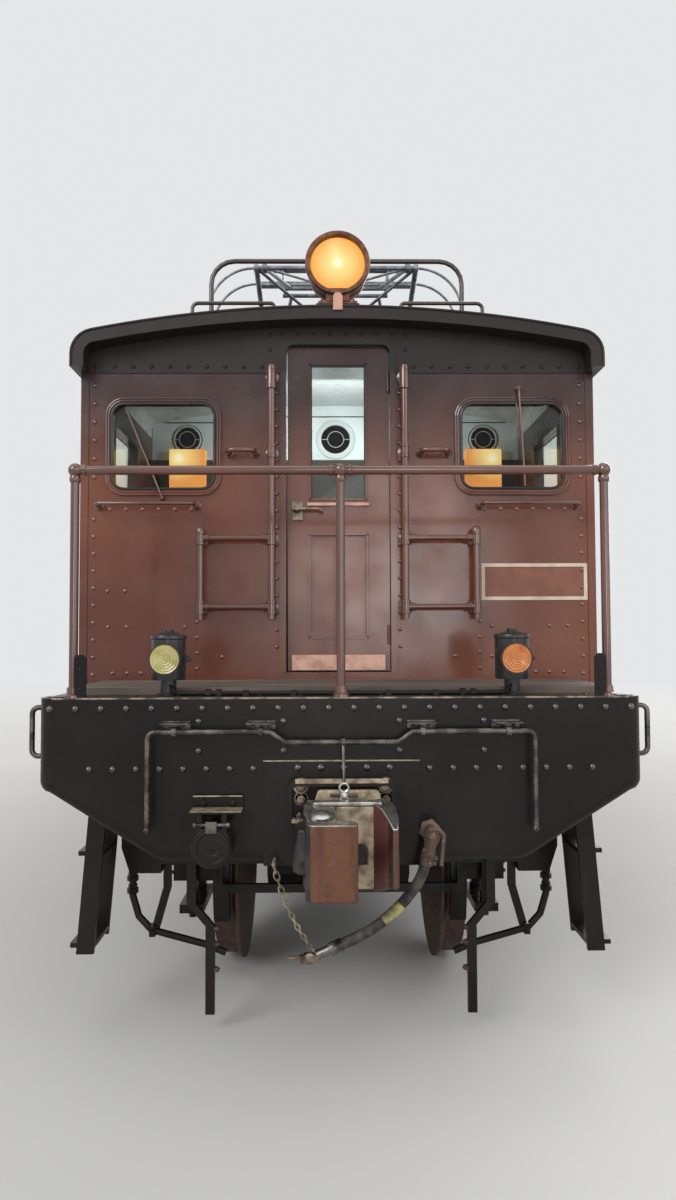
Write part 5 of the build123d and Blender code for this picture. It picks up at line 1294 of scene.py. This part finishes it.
def pantograph_head(end):
    """Collector head: side plates, contact strips and their horns."""
    foot = linkage(-1)[2][1]
    top = foot + STRIP_RISE
    shape = Shape(PANTOGRAPH_Y)
    for x in (-0.35, 0.35):
        shape.slab(x, 0.006, (-0.15, 0.15), (foot + 0.024, top - 0.03))
        outline = [(-0.095, 0.03), (-0.025, 0.03), (-0.04, -0.018), (-0.08, -0.018)]
        shape.prism([(y, foot + z) for y, z in outline], "x", x - 0.006, x + 0.006)
    radius = (HORN_RUN**2 + HORN_DROP**2) / (2 * HORN_DROP)
    turn = math.asin(HORN_RUN / radius)
    reach = radius - 0.009
    for y in (-STRIP_SPREAD, STRIP_SPREAD):
        shape.look = 0
        shape.slab(0, STRIP_HALF, (y - 0.03, y + 0.03), (top - 0.03, top - 0.012))
        for sign in (-1, 1):
            path = []
            for step in range(11):
                angle = turn * step / 10
                x = sign * (STRIP_HALF + reach * math.sin(angle))
                path.append((x, y, top - radius + reach * math.cos(angle)))
            shape.tube(path, 0.0088, sides=12)
        shape.look = 1
        shape.slab(0, STRIP_HALF - 0.01, (y - 0.022, y + 0.022), (top - 0.012, top))
    node = f"pantograph_{end}_head"
    shape.done(f"head_{end}", "pantograph_grey worn_iron", node, replaces=node, end=end, bevel=0.001)


def bogie_bolts(end):
    """Bolts of the boxes, horn stays and guards, rivets of the side frames, and joints of the sand pipes."""
    shape = Shape()
    for y in (BOGIE_Y - HALF_WHEELBASE, BOGIE_Y + HALF_WHEELBASE):
        for turn in turns(6):
            place = (BOX_FACE + 0.025, y + 0.07 * math.cos(turn), AXLE_HEIGHT + 0.07 * math.sin(turn))
            shape.bolt(place, 0.01, 0.009, ACROSS)
        for z in (AXLE_HEIGHT - 0.11, AXLE_HEIGHT + 0.11):
            for place in (y - 0.095, y + 0.095):
                shape.bolt((BOX_FACE, place, z), 0.011, 0.01, ACROSS)
    for offset in spaced(-1.9, 1.9, 0.11):
        if abs(abs(offset) - HALF_WHEELBASE) > 0.3:
            z = 0.69 if abs(offset) < 1.4 else 0.735
            shape.rivet((SIDE_FRAME_FACE, BOGIE_Y + offset, z), 0.012, 0.008, ACROSS)
    union = [(0, 0.02), (0.002, 0.028), (0.026, 0.028), (0.028, 0.022), (0.044, 0.022), (0.046, 0.02)]
    for z in (0.5, 0.44):
        shape.lathe((1.015, SAND_Y, z), UPWARD, union, 8)
    shape.slab(0.915, 0.015, (SAND_Y - 0.026, SAND_Y + 0.026), (0.236, 0.288))
    shape.bolt((0.915, SAND_Y - 0.026, 0.262), 0.009, 0.01)
    shape.look = 1
    for x, z in GUARD_BOLTS:
        shape.bolt((x, GUARD_Y, z), 0.012, 0.016, (-1, 0, 0))
    shape.both_sides()
    shape.done(f"bogie_bolts_{end}", "black_paint bolt_rust", f"bogie_{end}", end=end)


def cab_inside():
    """Ports and battens of the partitions, with painted shade in each port, the cab's arched lining and the
    warm lamp over each desk.
    """
    shape = Shape(PARTITION_FACE)
    z, wire = 3.06, 0.0022
    for x in (-1.03, 0.0, 1.03):
        outer, inner = (0.098, 0.084) if x else (0.136, 0.098)
        rim = [(0, inner), (0.014, inner + 0.004), (0.014, outer - 0.006), (0.01, outer), (0, outer)]
        shape.look = 0
        shape.lathe((x, 0, z), FRONT, rim, 36)
        screws = outer - 0.012
        for turn in turns(4):
            shape.rivet((x + screws * math.cos(turn), -0.014, z + screws * math.sin(turn)), 0.006, 0.004)
        angles = [math.tau * step / 24 for step in range(25)]
        circle = [(x + 0.056 * math.cos(t), -0.008, z + 0.056 * math.sin(t)) for t in angles]
        shape.tube(circle, wire, sides=6)
        for side in (-1, 1):
            shape.tube([(x + side * 0.056, -0.008, z), (x + side * inner, -0.008, z)], wire, sides=6)
        # Painted shade: a dark disc fills each port, where the space behind lies in shade.
        shape.look = 1
        shape.lathe((x, -0.002, z), FRONT, [(0, inner), (0.003, inner)], 36)
    for x, half, low in ((0, 0.45, 3.217), (-0.9, 0.29, 3.176), (0.9, 0.29, 3.176)):
        shape.slab(x, half, (-0.004, 0), (low, low + 0.006))
    shape.done("port_rims", "port_grey port_dark", slot="cab_paint")
    lining = Shape()
    lining.prism(roof_arch(0.078) + roof_arch(0.084)[::-1], "y", -4.36, -2.992)
    for x in (-1.293, 1.293):
        lining.slab(x, 0.003, (-4.36, -2.992), (2.92, EAVE))
    lining.done("cab_linings", "port_grey", slot="cab_paint")
    glow = Shape()
    for x in (-1.02, 1.02):
        glow.slab(x, 0.124, (-3.06, -2.992), (2.7, 2.98))
    glow.done("cab_lamps", "cab_glow", slot="amber_lens", bevel=0.008)


def lay_floor():
    """Pale floor that fades into the surround some way off."""
    look = Look("floor", roughness=0.75)
    look.paint(look.mix(look.noise(0.6), (206, 205, 202), (214, 213, 210)))
    reach = look.add("VectorMath", {0: look.place}, operation="LENGTH")["Value"]
    far = look.spread(reach, FLOOR_NEAR, FLOOR_FAR)
    share = look.maths("MULTIPLY", far, look.seen())
    glow = look.add("Emission", {"Color": SURROUND, "Strength": SURROUND_SEEN})["Emission"]
    blend = look.add("MixShader", {"Fac": share, 1: look.shader.outputs["BSDF"], 2: glow})["Shader"]
    look.feed(look.tree.nodes["Material Output"], "Surface", blend)
    data = bpy.data.meshes.new("floor")
    corners = [(-FLOOR_REACH, -FLOOR_REACH, 0), (FLOOR_REACH, -FLOOR_REACH, 0)]
    corners += [(FLOOR_REACH, FLOOR_REACH, 0), (-FLOOR_REACH, FLOOR_REACH, 0)]
    data.from_pydata(corners, [], [(0, 1, 2, 3)])
    data.materials.append(look.material)
    put("floor", data)


def hang_lamp(light, place, target):
    lamp = put(light.name, light)
    lamp.location = place
    lamp.rotation_euler = (Vector(target) - Vector(place)).to_track_quat("-Z", "Y").to_euler()
    lamp.visible_camera = False
    lamp.visible_transmission = False
    lamp.visible_glossy = light.type == "SUN"


def lights():
    """Soft wide lamps, small lamps in the cabs and a plain pale surround."""
    wide_lamps = [
        ("key", (-7.0, -8.5, 6.7), 1.6, 35),
        ("fill", (8.0, -7.5, 3.2), 0.7, 50),
        ("top", (0.0, -1.0, 11.0), 0.5, 60),
        ("rear", (6.0, 10.0, 6.0), 1.2, 45),
        ("front", (0.6, -8.0, 0.6), 0.22, 14),
    ]
    for name, place, strength, angle in wide_lamps:
        light = bpy.data.lights.new(name, "SUN")
        light.angle = math.radians(angle)
        light.energy = strength
        hang_lamp(light, place, (0, 0, 0))
    for end, way in (("front", -1), ("rear", 1)):
        for part, energy, height, aim, level in (("down", 11, 3.07, 3.1, 2.7), ("up", 6, 2.35, 3.4, 3.3)):
            light = bpy.data.lights.new(f"cab_{end}_{part}", "AREA")
            light.size = 0.45
            light.energy = energy
            hang_lamp(light, (0, way * 3.75, height), (0, way * aim, level))
    world = bpy.data.worlds.new("surround")
    bpy.context.scene.world = world
    world.use_nodes = True
    nodes = Nodes(world.node_tree)
    background = nodes.tree.nodes["Background"]
    nodes.feed(background, "Color", SURROUND)
    strength = nodes.spread(nodes.seen(), 0.0, 1.0, SURROUND_LIGHT, SURROUND_SEEN)
    nodes.feed(background, "Strength", strength)


def camera():
    """Camera at the photograph's place and angle."""
    data = bpy.data.cameras.new("camera")
    data.lens = CAMERA_LENS
    data.clip_end = 200
    made = put("camera", data)
    made.location = CAMERA_PLACE
    made.rotation_euler = [math.radians(turn) for turn in (90 + CAMERA_PITCH, CAMERA_ROLL, -CAMERA_YAW)]
    bpy.context.scene.camera = made


camera()
brake_hoses()
paint_parts()
plate_rivets()
end_wall_rivets()
end_wall_strips()
railing()
ladders_and_bars()
door_trim("front")
door_trim("rear")
window_rims()
side_trim()
roof_trim()
roof_guards()
vent_louvres()
marker_lamps()
headlight()
coupler()
uncoupling_lever()
angle_cocks()
end_gear()
deck_conduit()
for end in ("front", "rear"):
    for side, name in ((-1, "front"), (1, "rear")):
        pantograph_lower(end, side, name)
        pantograph_upper(end, side, name)
    pantograph_head(end)
bogie_bolts("front")
bogie_bolts("rear")
cab_inside()
lay_floor()
lights()
bpy.context.scene.view_settings.view_transform = "Standard"
